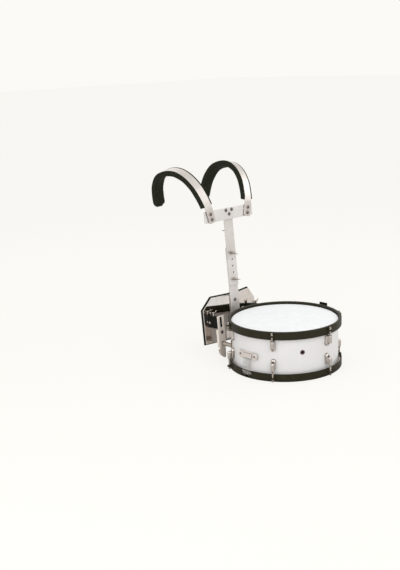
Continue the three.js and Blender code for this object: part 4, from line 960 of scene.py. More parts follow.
@dataclass
class DrumHeads:
    """The coated batter head and the hazy snare-side head, each with its flesh hoop."""

    drum: Drum = field(default_factory=Drum)
    flesh_width: float = 6.2
    flesh_height: float = 4.8
    flesh_drop: float = 5.8
    roll: float = 4.0

    def build(self) -> Pieces:
        """Each film is a disc that rolls over the bearing edge in a quarter round and runs to its hoop.

        Returns:
            The pieces.
        """
        top = self.drum.height - self.drum.head_recess
        film = self.drum.film
        collar = self.drum.shell_radius + 0.6
        flesh_top = top - self.flesh_drop
        flesh_foot, flesh_rim = flesh_top - self.flesh_height, collar + film + self.flesh_width
        disc = np.stack([np.linspace(0, collar + film - self.roll, 24), np.full(24, top)], axis=-1)
        a = np.linspace(0, math.pi / 2, 10)[1:]
        quarter = self.roll * np.stack([np.sin(a) - 1, np.cos(a) - 1], axis=-1)
        down = np.array([[collar + film, flesh_top - 2], [collar, flesh_top - 2]])
        outer, inner = quarter + (collar + film, top), quarter[::-1] + (collar, top - film)
        film_profile = np.vstack([disc, outer, down, inner, [[0, top - film]]])[::-1]
        flesh = eased([
            (collar, flesh_foot, 0.3), (flesh_rim, flesh_foot, 1.2), (flesh_rim, flesh_top, 1.2),
            (collar + film, flesh_top, 0.3),
            (collar + film, flesh_top - 1.5, 0), (collar, flesh_top - 1.5, 0),
        ])
        made = []
        for name, node, finish, turn in (
            ("batter_film", "batter_head", HEAD_COAT, lambda p: p),
            ("snare_side_film", "snare_side_head", HEAD_FILM, self.drum.flipped),
        ):
            film_skin, hoop = (revolve(turn(p), 256).placed(drum_axis()) for p in (film_profile, flesh))
            made.append(make_piece(name, film_skin, finish, DRUM_BODY, (node,)))
            made.append(make_piece(name.replace("film", "flesh_hoop"), hoop, DULL_CHROME, DRUM_BODY))
        return made


@dataclass
class CastHoops:
    """The two black cast hoops with an ear at each station."""

    drum: Drum = field(default_factory=Drum)
    radius: float = 188.6
    bore: float = 180.2
    skirt: float = 186.0
    hoop_height: float = 26.0
    lip_foot: float = 151.5
    ear_drop: float = 9.5
    ear_thick: float = 5.0
    ear_half: float = 8.0
    gate_half: float = 21.0
    gate: tuple[float, float] = (5.6, 22.5)

    def build(self) -> Pieces:
        """Both hoops; the lower one has a gate for the strap on each side.

        Returns:
            The pieces.
        """
        top, foot = self.drum.height, self.drum.height - self.hoop_height
        profile = eased([
            (self.bore, self.lip_foot, 0.4), (self.skirt, self.lip_foot, 0.4), (self.skirt, foot, 0.7),
            (self.radius, foot, 0.9), (self.radius, top, 2.2), (self.bore, top, 2.0),
        ])
        made = []
        for name, node, turn, up in (
            ("batter_hoop_casting", "batter_hoop", lambda p: p, 1),
            ("snare_hoop_casting", "snare_side_hoop", self.drum.flipped, -1),
        ):
            ring = make_piece(name, revolve(turn(profile), 288).placed(drum_axis()), HOOP_PAINT, DRUM_BODY,
                              (node,))
            if up < 0:
                for angle in (-90, 90):
                    cutter = block((-self.gate_half, self.gate_half), (self.bore - 4, self.radius + 4),
                                   self.gate, 1.5)
                    pierce(ring, cutter.placed(station(angle)))
            made.append(ring)
            level = self.drum.height / 2 + up * (self.drum.height / 2 - self.ear_drop - self.ear_thick / 2)
            ears = joined(*[self.ear(up).placed(station(angle), at(0, 0, level)) for angle in STATIONS])
            made.append(make_piece(f"{name}_ears", ears, HOOP_PAINT, DRUM_BODY))
        return made

    def ear(self, up: int) -> Surface:
        """One ear: a D-shaped shelf with an eased rim, and a fillet under it that runs back to the hoop.

        Args:
            up: 1 for the batter side and -1 for the snare side.

        Returns:
            The surface, at the ear's own height.
        """
        a = np.linspace(0, math.pi, 24)
        nose = self.ear_half * np.stack([np.cos(a), np.sin(a)], axis=-1) + (0, self.drum.rod_ring - 0.5)
        root = np.array([[-self.ear_half - 2.5, self.radius - 1.2], [self.ear_half + 2.5, self.radius - 1.2]])
        shelf = plate(np.vstack([nose, root]), self.ear_thick, 1.1)
        t = np.linspace(0, 1, 8)[:, None]
        wide = np.linspace(-1, 1, 17)[None, :]
        drop = 9.0 * t**1.5
        reach = 9.5 * (1 - t) ** 1.7 * np.sqrt(np.maximum(1 - wide**2, 0))
        x = wide * (self.ear_half - 0.8) * (1 - 0.35 * t)
        z = -up * (self.ear_thick / 2 - 0.6 + drop) + 0 * wide
        front = np.stack([x + 0 * z, self.radius - 0.6 + reach, z], axis=-1)
        back = np.stack([x + 0 * z, np.full_like(z, self.radius - 1.4), z], axis=-1)
        web = slab(back, front) if up < 0 else slab(front, back)
        return joined(shelf, web)


@dataclass
class Tuning:
    """Separate lugs and tension rods, one of each on both sides of the shell at every station."""

    drum: Drum = field(default_factory=Drum)
    lug_length: float = 37.0
    eye_radius: float = 8.8
    neck_half: float = 6.4
    lug_depth: float = 10.0
    sleeve_radius: float = 6.3
    sleeve_share: float = 0.56
    rod_radius: float = 3.0
    ear_top: float = 155.5
    batter_lug_top: float = 136.0
    snare_lug_foot: float = 37.0

    def build(self) -> Pieces:
        """Twelve lugs and twelve rods; a snare-side one is the batter-side one turned over.

        Returns:
            The pieces.
        """
        bored = self.lug_length * self.sleeve_share - 2
        rods = {"batter": self.ear_top + AIR - self.batter_lug_top + bored,
                "snare": self.snare_lug_foot - (self.drum.height - self.ear_top) + AIR + bored}
        over = basis((-1, 0, 0), (0, 1, 0), (0, 0, -1))
        made = []
        for number, angle in enumerate(STATIONS, start=1):
            for word, lug_at, rod_at, turn in (
                ("batter", self.batter_lug_top - self.lug_length, self.ear_top + AIR, np.eye(4)),
                ("snare", self.snare_lug_foot + self.lug_length, self.drum.height - self.ear_top - AIR, over),
            ):
                mark = f"{word}_{number}"
                lug_place = station(angle) @ at(0, 0, lug_at) @ turn
                rod_place = station(angle) @ at(0, 0, rod_at) @ turn
                made += make_pieces(lug_place, (("lug_casting_", self.lug(), CHROME, DRUM_BODY, "lug_"),
                                                ("lug_eye_", self.eye(), BLACK_STEEL, DRUM_BODY)), mark)
                rod = ("tension_rod_", self.rod(rods[word]), DULL_CHROME, f"rod_{mark}_body", "rod_")
                made += make_pieces(rod_place, (rod,), mark)
        return made

    def lug(self) -> Surface:
        """A crowned teardrop foot with a sleeve for the rod, standing on the shell with its sleeve up.

        The foot's ring k is the outline shrunk to (1 - k^3.4)^0.42 about its spine, at depth k, so it domes.

        Returns:
            The surface.
        """
        a = np.radians(np.linspace(180, 360, 25))
        eye = np.stack([self.eye_radius * np.cos(a), self.eye_radius + self.eye_radius * np.sin(a)], axis=-1)
        top = np.array([[self.neck_half, self.lug_length - 2], [self.neck_half - 2, self.lug_length],
                        [2 - self.neck_half, self.lug_length], [-self.neck_half, self.lug_length - 2]])
        t = np.linspace(0, 1, 8)[1:-1, None]
        right = (1 - t) * eye[-1] + t * top[0]
        left = (1 - t) * top[-1] + t * eye[0]
        outline = np.vstack([eye, right, top, left])
        level = np.clip(outline[:, 1], self.eye_radius, self.lug_length - 5)
        spine = np.column_stack([np.zeros(len(outline)), level])
        k = np.array([0, 0.2, 0.42, 0.6, 0.74, 0.86, 0.94, 0.985, 1.0])
        shrink = np.power(1 - k**3.4, 0.42) * 0.9 + 0.1
        rings = spine[None] + (outline - spine)[None] * shrink[:, None, None]
        depth = self.drum.shell_radius + 0.2 + self.lug_depth * k
        depths = np.broadcast_to(depth[:, None], rings.shape[:2])
        grid = np.stack([rings[..., 0], depths, rings[..., 1]], axis=-1)
        back = grid[:1] - np.array([0, 1.6, 0])
        foot = skin(np.concatenate([back, grid])[:, ::-1], caps=True)
        low = self.lug_length * (1 - self.sleeve_share)
        b = np.linspace(-math.pi / 2, 0, 9)
        nose = np.stack([self.sleeve_radius * np.cos(b), low + self.sleeve_radius * np.sin(b)], axis=-1)
        bore = self.rod_radius + 0.5
        collar = eased([(self.sleeve_radius, self.lug_length, 0.9), (bore, self.lug_length, 0.6),
                        (bore, low + 3, 0), (0, low + 3, 0), (0, low, 0)])[:-1]
        sleeve = revolve(np.vstack([nose, collar]), 36).placed(at(0, self.drum.rod_ring, 0))
        inner, outer = self.drum.shell_radius + 2.5, self.drum.rod_ring + 1.5
        drop = low - self.sleeve_radius + 0.5
        side = eased([(inner, drop + 3, 1), (outer, drop, 4), (outer, self.lug_length - 0.6, 1),
                      (inner, self.lug_length - 0.6, 1)], 4)
        bridge = plate(side, 2 * self.sleeve_radius - 0.7, 2.2).placed(at(0, 0, 0, Axis.X))
        return joined(foot, sleeve, bridge)

    def eye(self) -> Surface:
        """The screw that shows in the lug's eye: a low dark dome with a slot's shadow round it."""
        front = self.drum.shell_radius + self.lug_depth
        return screw_head(3.3, 1.3, 1.5).placed(at(0, front - 0.5, self.eye_radius, Axis.Y))

    def rod(self, length: float) -> Surface:
        """A tension rod under its washer: threads are ridges half a millimetre deep, one to a millimetre.

        Args:
            length: Its length under the washer.

        Returns:
            The surface.
        """
        radius, bare = self.rod_radius, 12
        turns = int(length - bare)
        ridge = np.stack([np.tile([radius, radius - 0.4], turns), np.linspace(-length + 1, -bare, 2 * turns)],
                         axis=-1)
        shank = np.vstack([[[0, -length], [radius - 0.6, -length]], ridge,
                           [[radius - 0.2, 1 - bare], [radius - 0.2, 0.2], [0, 0.2]]])
        washer = revolve(eased([(0, 0, 0), (5.1, 0, 0.4), (5.1, 1.2, 0.4), (0, 1.2, 0)]), 36)
        collar = revolve(eased([(0, 1.1, 0), (4.0, 1.1, 0.2), (4.0, 3.2, 0.8), (0, 3.6, 0)]), 28)
        square = block((-2.8, 2.8), (-2.8, 2.8), (2.6, 7.4), 0.5, 0.8)
        return joined(revolve(shank, 20), washer, collar, square).placed(at(0, self.drum.rod_ring, 0))


@dataclass
class Snares:
    """The coiled snare wires under the lower head, their tail plates and the two straps."""

    drum: Drum = field(default_factory=Drum)
    count: int = 12
    spread: float = 40.0
    half_length: float = 136.0
    level: float = 6.3
    coil_radius: float = 0.85
    pitch: float = 2.6
    strap_width: float = 33.0
    tail: float = 15.0
    steps: int = 7
    wire: float = 0.22

    def build(self) -> Pieces:
        """Wires, tail plates and straps.

        Returns:
            The pieces.
        """
        near, far = self.half_length - self.tail, self.half_length
        plates = [block(xs, (-22.5, 22.5), (self.level - 1.1, self.level), 0.3, 1.5)
                  for xs in ((near, far), (-far, -near))]
        made = make_pieces(drum_axis(), (("snare_coils", self.coils(), WIRE, DRUM_BODY, "snare_wires"),
                                         ("snare_tail_plates", joined(*plates), DULL_CHROME, DRUM_BODY)))
        for name, node, angle, reach, height in (("butt_strap", "strap_butt", -90, 182.4, 77.5),
                                                 ("strainer_strap", "strap_strainer", 90, 188.5, 57.0)):
            strip = self.strap(reach, height).placed(station(angle))
            made.append(make_piece(name, strip, STRAP, DRUM_BODY, (node,)))
        return made

    def coils(self) -> Surface:
        """Each wire is a helix: x grows with the angle, y and z lie on a circle coarser than a real one.

        Returns:
            The surface of all the wires.
        """
        reach = self.half_length - self.tail + 3
        turns = int(2 * reach / self.pitch)
        a = np.linspace(0, 2 * math.pi * turns, turns * self.steps)
        x = np.linspace(-reach, reach, len(a))
        line = np.stack([x, self.coil_radius * np.cos(a), self.coil_radius * np.sin(a)], axis=-1)
        out = np.stack([0 * a, np.cos(a), np.sin(a)], axis=-1)
        b = np.radians([0, 120, 240])[None, :, None]
        grid = line[:, None] + self.wire * (np.cos(b) * out[:, None] + np.sin(b) * np.array([1.0, 0, 0]))
        coil = skin(grid[:, ::-1], caps=True)
        places = np.linspace(-self.spread / 2, self.spread / 2, self.count)
        return joined(*[coil.placed(at(0, float(y), self.level - 0.1)) for y in places])

    def strap(self, reach: float, height: float) -> Surface:
        """A strip carried from the tail plate through the hoop's gate and up the shell, on a smooth route.

        Args:
            reach: The distance of its end from the drum's axis.
            height: The height of its end.

        Returns:
            The surface.
        """
        route = np.array([[121, 7.2], [150, 7.2], [178, 7.2], [186, 8.6], [190.2, 14.0], [190.2, 26.5],
                          [(190.2 + reach) / 2, (26.5 + height) / 2 - 4],
                          [reach, height - 12], [reach, height]])
        place, along = spline(route, 90)
        section = rounded((-self.strap_width / 2, self.strap_width / 2), (-0.3, 0.3), 0.12, 2)
        nought = np.zeros((len(place), 1))
        outward = np.hstack([nought, along[:, ::-1] * (-1, 1)])
        return sweep(section, path_places(np.array([1, 0, 0]), outward, np.hstack([nought, along]),
                                          np.hstack([nought, place])))


@dataclass
class ButtPlate:
    """The chrome butt plate at the player's right that clamps the strap's end."""

    height: float = 74.0
    half: float = 42.0
    tall: float = 24.0
    clamp_half: float = 21.0
    clamp_tall: float = 15.0
    face: float = 181.8
    thick: float = 4.6
    clamp_thick: float = 3.5
    screw_places: tuple[float, float] = (-31.0, 31.0)

    def build(self) -> Pieces:
        """A stadium plate, a clamp bar on it and two screws.

        Returns:
            The pieces.
        """
        outline = rounded((-self.half, self.half), (-self.tall / 2, self.tall / 2), self.tall / 2 - 0.1, 12)
        base = plate(outline, self.thick, 1.2).placed(at(0, self.face - self.thick / 2, self.height, Axis.Y))
        half, rise = self.clamp_half, self.clamp_tall / 2
        outline = rounded((-half, half), (-rise, rise), 2.5)
        bar = plate(outline, self.clamp_thick, 0.9).placed(
            at(0, self.face + 1.2 + self.clamp_thick / 2, self.height, Axis.Y))
        spots = [at(x, self.face - 0.1, self.height, Axis.Y) for x in self.screw_places]
        heads = screws((3.2, 2.0, 1.2), spots)
        return make_pieces(station(-90), (("butt_casting", joined(base, bar), BUTT, DRUM_BODY, "butt_plate"),
                                          ("butt_screws", heads, DARK_STEEL, DRUM_BODY)))


@dataclass
class Strainer:
    """The throw-off at the player's left: a cheeked base, a slide that grips the strap, a knob, a lever."""

    half: float = 20.0
    low: float = 44.0
    high: float = 116.0
    face: float = 181.8
    pivot: tuple[float, float] = (192.8, 103.0)
    knob_height: float = 56.0
    base_thick: float = 4.2
    cheek_thick: float = 3.0
    screw_heights: tuple[float, float] = (91.0, 112.0)
    rib_heights: tuple[float, ...] = (142.0, 147.0, 152.0, 157.0)

    def build(self) -> Pieces:
        """Base, slide, knob and lever, each on its own body.

        Returns:
            The pieces.
        """
        back = plate(rounded((-self.half, self.half), (self.low, self.high), 5), self.base_thick, 1.0)
        back = back.placed(at(0, self.face - self.base_thick / 2, 0, Axis.FRONT))
        root, nose = self.face - 1, self.face + 17
        cheek = np.array([[root, 62.0], [self.face + 10, 62.0], [nose, 74.0], [nose, 106.0],
                          [self.face + 9, self.high], [root, self.high]])
        hole = circle(3.2, 24, self.pivot, clockwise=True)
        side = plate(cheek, self.cheek_thick, 0.8, (hole,))
        cheeks = [side.placed(at(s * (self.half - self.cheek_thick / 2), 0, 0, Axis.X)) for s in (1, -1)]
        heads = screws(SMALL_HEAD, [at(0, self.face - 0.1, z, Axis.Y) for z in self.screw_heights])
        return make_pieces(station(90), (
            ("strainer_frame", joined(back, *cheeks), CHROME, DRUM_BODY, "strainer_base"),
            ("strainer_screws", heads, DARK_STEEL, DRUM_BODY),
            ("strainer_gripper", self.slide(), DULL_CHROME, "strainer_slide_body", "strainer_slide"),
            ("strainer_thumb_knob", self.knob(), CHROME, "strainer_knob_body", "strainer_knob"),
            ("strainer_throw_lever", self.lever(), BLOCK_PLASTIC, "strainer_lever_body", "strainer_lever"),
        ))

    def slide(self) -> Surface:
        """The slide: two jaws with the strap's slot between them, joined above it.

        Returns:
            The surface.
        """
        inner = block((-16.4, 16.4), (183.0, 187.6), (46, 86), 0.7)
        outer = block((-16.4, 16.4), (189.4, 194.0), (46, 86), 0.7)
        bridge = block((-16.0, 16.0), (187.0, 190.0), (63, 85.6), 0.3)
        return joined(inner, outer, bridge)

    def knob(self) -> Surface:
        """A fluted thumb knob: its rim shrinks by 7% of the square of (1 - cos 10 a) / 2.

        Returns:
            The surface.
        """
        a = np.linspace(0, 2 * math.pi, 120, endpoint=False)
        profile = eased([(0, 0, 0), (7.4, 0, 0.6), (8, 2, 0.5), (8, 9.4, 1.2), (6, 10, 0.6), (0, 9.6, 0)])
        flute = 1 - 0.07 * (0.5 - 0.5 * np.cos(10 * a)) ** 2
        share = np.clip(profile[:, 0] / 8, 0, 1)[:, None] ** 3
        radius = profile[:, 0][:, None] * (1 + (flute[None] - 1) * share)
        grid = np.stack([radius * np.cos(a), radius * np.sin(a), profile[:, 1][:, None] + 0 * a], axis=-1)
        stem = turned_piece(2.6, -4.6, 0.6, 0.2, 20)
        return joined(skin(grid), stem).placed(at(0, 194.3, self.knob_height, Axis.Y))

    def lever(self) -> Surface:
        """The lever: a round root on its pin and a handle whose back leans out towards its tip.

        Returns:
            The surface.
        """
        y, z = self.pivot
        a = np.radians(np.linspace(160, 380, 22))
        root = np.stack([y + 7.5 * np.cos(a), z + 7.5 * np.sin(a)], axis=-1)
        tip = (y, 0) + np.array([[8.6, 126.0], [11.6, 148.0], [12.5, 166.4], [11.6, 168.0],
                                 [8.4, 168.0], [7.4, 166.4], [6.2, 148.0], [2.4, 124.0]])
        arm = plate(np.vstack([root, tip]), 32, 1.3).placed(at(0, 0, 0, Axis.X))
        pin = turned_piece(2.8, -20, 20, 0.5, 24).placed(at(0, y, z, Axis.X))
        ribs = []
        for height in self.rib_heights:
            near = y + 11.2 + 0.045 * (height - self.rib_heights[0])
            ribs.append(block((-13, 13), (near, near + 1.1), (height, height + 1.6), 0.4))
        return joined(arm, pin, *ribs)


@dataclass
class ShellStuds:
    """Two studs on the shell, whose heads the carrier's hangers hold."""

    drum: Drum = field(default_factory=Drum)
    foot_thick: float = 4.4
    foot_half: float = 21.0
    foot_degrees: float = 5.4
    screw_reach: float = 16.0
    post_radius: float = 7.0
    neck_radius: float = 4.6
    head_radius: float = 8.0
    head_thick: float = 4.0

    def build(self) -> Pieces:
        """Each stud stands on a curved foot that follows the shell.

        Returns:
            The pieces.
        """
        made = []
        reach = math.sqrt(self.drum.shell_radius**2 - HANGER_SPREAD**2)
        face = UPRIGHT_FRONT + HANGER_FRONT / math.cos(LEAN) + (STUD_HEIGHT - UPRIGHT_HEIGHT) * math.tan(LEAN)
        start = face + HANGER_WALL + self.head_radius * math.tan(LEAN) + 2 * AIR
        end = start + self.head_thick
        post_radius, neck, head = self.post_radius, self.neck_radius, self.head_radius
        post = revolve(eased([
            (0, reach - 6, 0), (post_radius + 2, reach - 6, 0), (post_radius, reach + 12, 3),
            (post_radius, face - 1.2, 0.6), (neck, face - 1.0, 0.3), (neck, start, 0.3), (head, start, 0.6),
            (head, end, 1.2), (0, end + 0.2, 0),
        ]), 40)
        inner = self.drum.shell_radius + AIR
        outer = inner + self.foot_thick
        heights = STUD_HEIGHT + np.linspace(-self.foot_half, self.foot_half, 5)
        angles = np.radians(np.linspace(-self.foot_degrees, self.foot_degrees, 13))
        h, a = np.meshgrid(heights, angles, indexing="ij")
        back, front = (np.stack([r * np.sin(a), r * np.cos(a), h], axis=-1) for r in (inner, outer))
        for side in Side:
            place = station(side.value * math.degrees(math.atan2(HANGER_SPREAD, -reach)))
            heads = screws(SMALL_HEAD, [place @ at(0, outer - 0.1, STUD_HEIGHT + z, Axis.Y)
                                        for z in (-self.screw_reach, self.screw_reach)])
            stud = joined(slab(back, front).placed(place),
                          post.placed(drum_axis(), at(side.value * HANGER_SPREAD, 0, STUD_HEIGHT, Axis.Y)))
            made += make_pieces(np.eye(4), (("stud_", stud, DULL_CHROME, DRUM_BODY, "shell_stud_"),
                                            ("stud_screws_", heads, DARK_STEEL, DRUM_BODY)), side.word)
        return made


@dataclass
class Uprights:
    """The two upright bars, their crossbar, and the nuts and screws that hold them."""

    half: float = 20.0
    thick: float = 5.0
    upper: tuple[float, float] = (86.0, 354.0)
    lower: tuple[float, float] = (-72.0, 219.0)
    holes: tuple[float, ...] = (107.4, 130.6, 153.8, 177.0, 200.2)
    hole_radius: float = 3.3
    slot_half: float = 3.6
    slot_foot: float = 91.0
    cross_half: float = 114.0
    cross: tuple[float, float] = (318.0, 358.0)
    centre_bolts: tuple[tuple[float, float], ...] = ((-13.6, 350.0), (13.6, 350.0), (0.0, 336.0))
    plate_screws: tuple[float, ...] = (34.0, -44.0)
    rear_screw: float = 278.994
    corner: float = 2.0

    def build(self) -> Pieces:
        """Bars, crossbar, bolts and wing nuts.

        Returns:
            The pieces.
        """
        place = carrier_place()
        holes = tuple(circle(self.hole_radius, 28, (0, -z), clockwise=True) for z in self.holes)
        outline = rounded((-self.half, self.half), (-self.upper[1], -self.upper[0]), self.corner)
        upper = plate(outline, self.thick, 0.5, holes).placed(at(0, self.thick / 2, 0, Axis.Y))
        behind = self.thick + AIR
        lower = plate(self.slotted(), self.thick, 0.5).placed(at(0, behind + self.thick / 2, 0, Axis.Y))
        outline = rounded((-self.cross_half, self.cross_half), (-self.cross[1], -self.cross[0]),
                          2 * self.corner)
        cross = plate(outline, self.thick, 0.5).placed(at(0, -AIR - self.thick / 2, 0, Axis.Y))
        heads = screws(BUTTON_HEAD, [at(0, behind + 0.1, z, Axis.FRONT) for z in self.plate_screws])
        made = make_pieces(place, (
            ("upper_upright", upper, BAR_UP, FRAME_BODY, "upper_bar"),
            ("lower_upright", lower, BAR_UP, DRUM_BODY, "lower_bar"),
            ("cross_piece", cross, BAR_ACROSS, FRAME_BODY, "crossbar"),
            ("carriage_bolts", self.bolts(), DULL_CHROME, FRAME_BODY),
            ("centre_bolts", self.centre(), DARK_STEEL, FRAME_BODY),
            ("plate_screws", heads, DARK_STEEL, DRUM_BODY),
        ))
        # The upper bar's hole walls get dark steel: painted shade in the holes
        paint_bore_shade(made[0], DARK_STEEL, place, [(0, z) for z in self.holes], self.hole_radius + 0.1)
        for word, height, turn in (("lower", self.holes[0], 14), ("upper", self.holes[-1], 28)):
            nut = wing_body(3.4).placed(at(0, -AIR, height, Axis.FRONT), turned(-turn))
            row = ("wing_nut_casting_", nut, DULL_CHROME, f"wing_nut_{word}_body", "wing_nut_")
            made += make_pieces(place, (row,), word)
        rear = basis((-1, 0, 0), (0, 0, 1), (0, 1, 0), (0, behind, self.rear_screw))
        screw = joined(wing_body(0.2), turned_piece(3, -3.4, 1, 0.3, 20)).placed(rear)
        row = ("rear_wing_casting", screw, DARK_STEEL, "rear_wing_screw_body", "rear_wing_screw")
        return made + make_pieces(place, (row,))

    def slotted(self) -> np.ndarray:
        """The lower bar's outline: a rounded rectangle whose top edge dips round the open slot.

        Returns:
            The outline, anticlockwise, as X and downward Z.
        """
        corner = rounded((-self.half, self.half), (-self.lower[1], -self.lower[0]), self.corner)
        a = np.radians(np.linspace(180, 360, 17))
        foot = np.stack([self.slot_half * np.cos(a), -self.slot_foot - self.slot_half * np.sin(a)], axis=-1)
        slot = np.array([[-self.slot_half, -self.lower[1]], *foot.tolist(), [self.slot_half, -self.lower[1]]])
        off_top = np.abs(corner[:, 1] + self.lower[1]) + np.abs(corner[:, 0] + self.half - self.corner)
        split = int(np.argmin(off_top + (corner[:, 0] > 0) * 1e3))
        return np.vstack([corner[:split + 1], slot, corner[split + 1:]])

    def bolts(self) -> Surface:
        """Carriage bolts: a domed head behind both bars and a threaded end in front of the wing nut.

        Returns:
            The surface.
        """
        back = 2 * (self.thick + AIR)
        thread = np.stack([np.tile([2.9, 2.55], 18), np.linspace(-19.6, -10.4, 36)], axis=-1)
        profile = np.vstack([[[0, -20], [2.4, -20]], thread, [
            [2.7, -10], [2.7, back], [6.4, back + 0.1], [6.0, back + 1.2], [4.2, back + 2.2], [2, back + 2.6],
            [0, back + 2.7]]])
        bolt = revolve(profile, 28)
        return joined(*[bolt.placed(at(0, 0, z, Axis.Y)) for z in (self.holes[0], self.holes[-1])])

    def centre(self) -> Surface:
        """The crossbar's three bolts: button heads in front and nuts behind."""
        return through_bolts(self.centre_bolts, 0.1 - AIR - self.thick, self.thick - 0.1)


@dataclass
class ShoulderHook:
    """One shoulder bar bent over the shoulder, with the foam pad that embraces it."""

    side: Side
    spread: float = 88.0
    height: float = 338.0
    tilt: float = 13.3
    splay: float = 2.4
    width: float = 30.0
    thick: float = 4.0
    bolt_half: float = 9.5
    reach: float = 240.0
    crest: float = 171.0
    steps: int = 30
    pad_width: float = 42.0
    pad_backing: float = 17.0
    pad_step: int = 4
    route: tuple[tuple[float, float], ...] = (
        (0, -0.129), (0, 0), (0, 0.129), (0.006, 0.222), (0.033, 0.374), (0.1, 0.608), (0.225, 0.83),
        (0.392, 0.971), (0.583, 1), (0.783, 0.924), (0.917, 0.725), (0.979, 0.491), (1, 0.304), (0.995, 0.24),
    )

    def __post_init__(self) -> None:
        """Samples the route once, by its length."""
        self.spots, self.along = spline(np.array(self.route) * (self.reach, self.crest), 3001)
        self.length = float(np.sum(np.linalg.norm(np.diff(self.spots, axis=0), axis=1)))

    def place(self) -> np.ndarray:
        """The hook's place: X back, Y up along the tilted bar, Z across it.

        Returns:
            The place.
        """
        tilt, way = math.radians(self.tilt), self.side.value
        up = np.array([way * math.sin(tilt), 0, math.cos(tilt)])
        across = np.array([math.cos(tilt), 0, -way * math.sin(tilt)])
        back = np.array([0, 1, 0]) + across * way * math.tan(math.radians(self.splay))
        return carrier_place() @ basis(tuple(back), tuple(up), tuple(across),
                                       (way * self.spread, -2 * AIR - self.thick - 1, self.height))

    def line(self, run: np.ndarray) -> np.ndarray:
        """Places on the bar's rear face at distances along it: X across the bar, Y outwards, Z along it.

        Args:
            run: The distances.

        Returns:
            The places, one for each distance.
        """
        last = len(self.spots) - 1
        pick = np.clip(np.round(run / self.length * last).astype(int), 0, last)
        spots, along = (np.column_stack([v[pick], np.zeros(len(pick))]) for v in (self.spots, self.along))
        return path_places(np.array([0, 0, 1]), along[:, [1, 0, 2]] * (-1, 1, 1), along, spots)

    def build(self) -> Pieces:
        """Bar, bolts and pad.

        Returns:
            The pieces.
        """
        word = self.side.word
        strip = ("shoulder_strip_", self.bar(), SHADED_BAR_BENT, FRAME_BODY, "shoulder_bar_")
        bolts = ("shoulder_bolts_", self.bolts(), DARK_STEEL, FRAME_BODY)
        hard = make_pieces(self.place(), (strip,), word) + make_pieces(carrier_place(), (bolts,), word)
        pad = make_piece(f"shoulder_cushion_{word}", self.pad().placed(self.place()), FOAM, FRAME_BODY,
                         (f"shoulder_pad_{word}",), angle=60)
        return [*hard, pad]

    def bar_end(self) -> float:
        """Where the bar ends inside the pad, a step before the route's end."""
        return self.length * (self.steps - 1) / self.steps

    def bar(self) -> Surface:
        """The bar: a rounded strip section carried along the route, its lower end rounded off in plan.

        Returns:
            The surface.
        """
        run = np.linspace(0, self.bar_end(), 180)
        section = rounded((-self.width / 2, self.width / 2), (0, self.thick), 0.9, 3)
        share = 0.62 + 0.38 * np.sqrt(1 - (1 - np.minimum(run / 7, 1)) ** 2)
        shape = np.repeat(section[None], len(run), axis=0)
        shape[:, :, 0] *= share[:, None]
        return sweep(shape, self.line(run))

    def bolts(self) -> Surface:
        """Two bolts through bar and crossbar: button heads in front, nuts behind.

        Returns:
            The surface.
        """
        tilt, way = math.radians(self.tilt), self.side.value
        spots = tuple((way * (self.spread + up * math.sin(tilt)), self.height + up * math.cos(tilt))
                      for up in (-self.bolt_half, self.bolt_half))
        return through_bolts(spots, -9.5, -0.1)

    def pad(self) -> Surface:
        """The pad: a foam channel with a crowned face, drawn-in flanks, a square front and a round rear end.

        The section runs round anticlockwise: the crowned face, the flanks, the rims beside the bar and the
        groove that the bar lies in, which closes past the bar's end. At a distance d from the rear end its
        width is the root of 1 - (1 - d / h)^2, with h half the pad's width. The face has shallow dents, a sum
        of two sines along and across it.

        Returns:
            The surface.
        """
        half, low, high = self.pad_width / 2, -self.pad_backing, self.thick
        start, round_off = self.length * self.pad_step / self.steps, self.length - half
        ease = np.sin(np.linspace(0, math.pi / 2, 15))[1:]
        square = start + np.array([0, 0.4, 1.2, 2.4])
        run = np.r_[square, np.linspace(start + 4, round_off, 180), round_off + half * ease]
        run[-1] -= 0.02
        slot, rim_half = self.width / 2 + 0.35, (half - self.width / 2 - 0.35) / 2
        t = np.linspace(-1, 1, 19)
        face = np.stack([t * (half - 4.6), low + 1.4 * t**4], axis=-1)
        a, b = np.radians(np.linspace(-80, 0, 7)), np.radians(np.linspace(0, 180, 11))
        corner = np.stack([half - 4.6 + 4.6 * np.cos(a), low + 6.0 + 4.6 * np.sin(a)], axis=-1)
        flank = np.array([[half - 0.5, low + 9.0], [half - 0.7, low + 13.0], [half - 0.3, low + 17.0]])
        rim = np.stack([half - rim_half + rim_half * np.cos(b), high - 2.2 + 2.4 * np.sin(b)], axis=-1)
        floor = np.array([[slot, 0.2], [slot - 0.3, -0.3]])
        right = np.vstack([corner, flank, rim, floor])
        section = np.vstack([face, right, right[::-1] * (-1, 1)])
        shape = np.repeat(section[None], len(run), axis=0)
        filled = np.clip((run - self.bar_end() - 0.4) / 1.2, 0, 1)[:, None]
        grooved = (np.abs(shape[..., 0]) <= slot + 0.01) & (shape[..., 1] > -1)
        shape[..., 1] += np.where(grooved, filled * (high - 0.4 - shape[..., 1]), 0)
        s, x = run[:, None], shape[..., 0]
        dents = 0.35 * np.sin(s / 17 + x / 9) + 0.25 * np.sin(s / 7.3 - x / 13)
        shape[..., 1] += np.where(shape[..., 1] < low + 8, dents, 0)
        front = 0.93 + 0.07 * np.sqrt(1 - (1 - np.clip((run - start) / 2.4, 0, 1)) ** 2)
        rear = np.sqrt(1 - np.clip(1 - (self.length - run) / half, 0, 1) ** 2)
        middle = (low + high) / 2
        shape[..., 0] *= (front * rear)[:, None]
        shape[..., 1] = middle + (shape[..., 1] - middle) * (front * (0.8 + 0.2 * rear))[:, None]
        return sweep(shape, self.line(run))


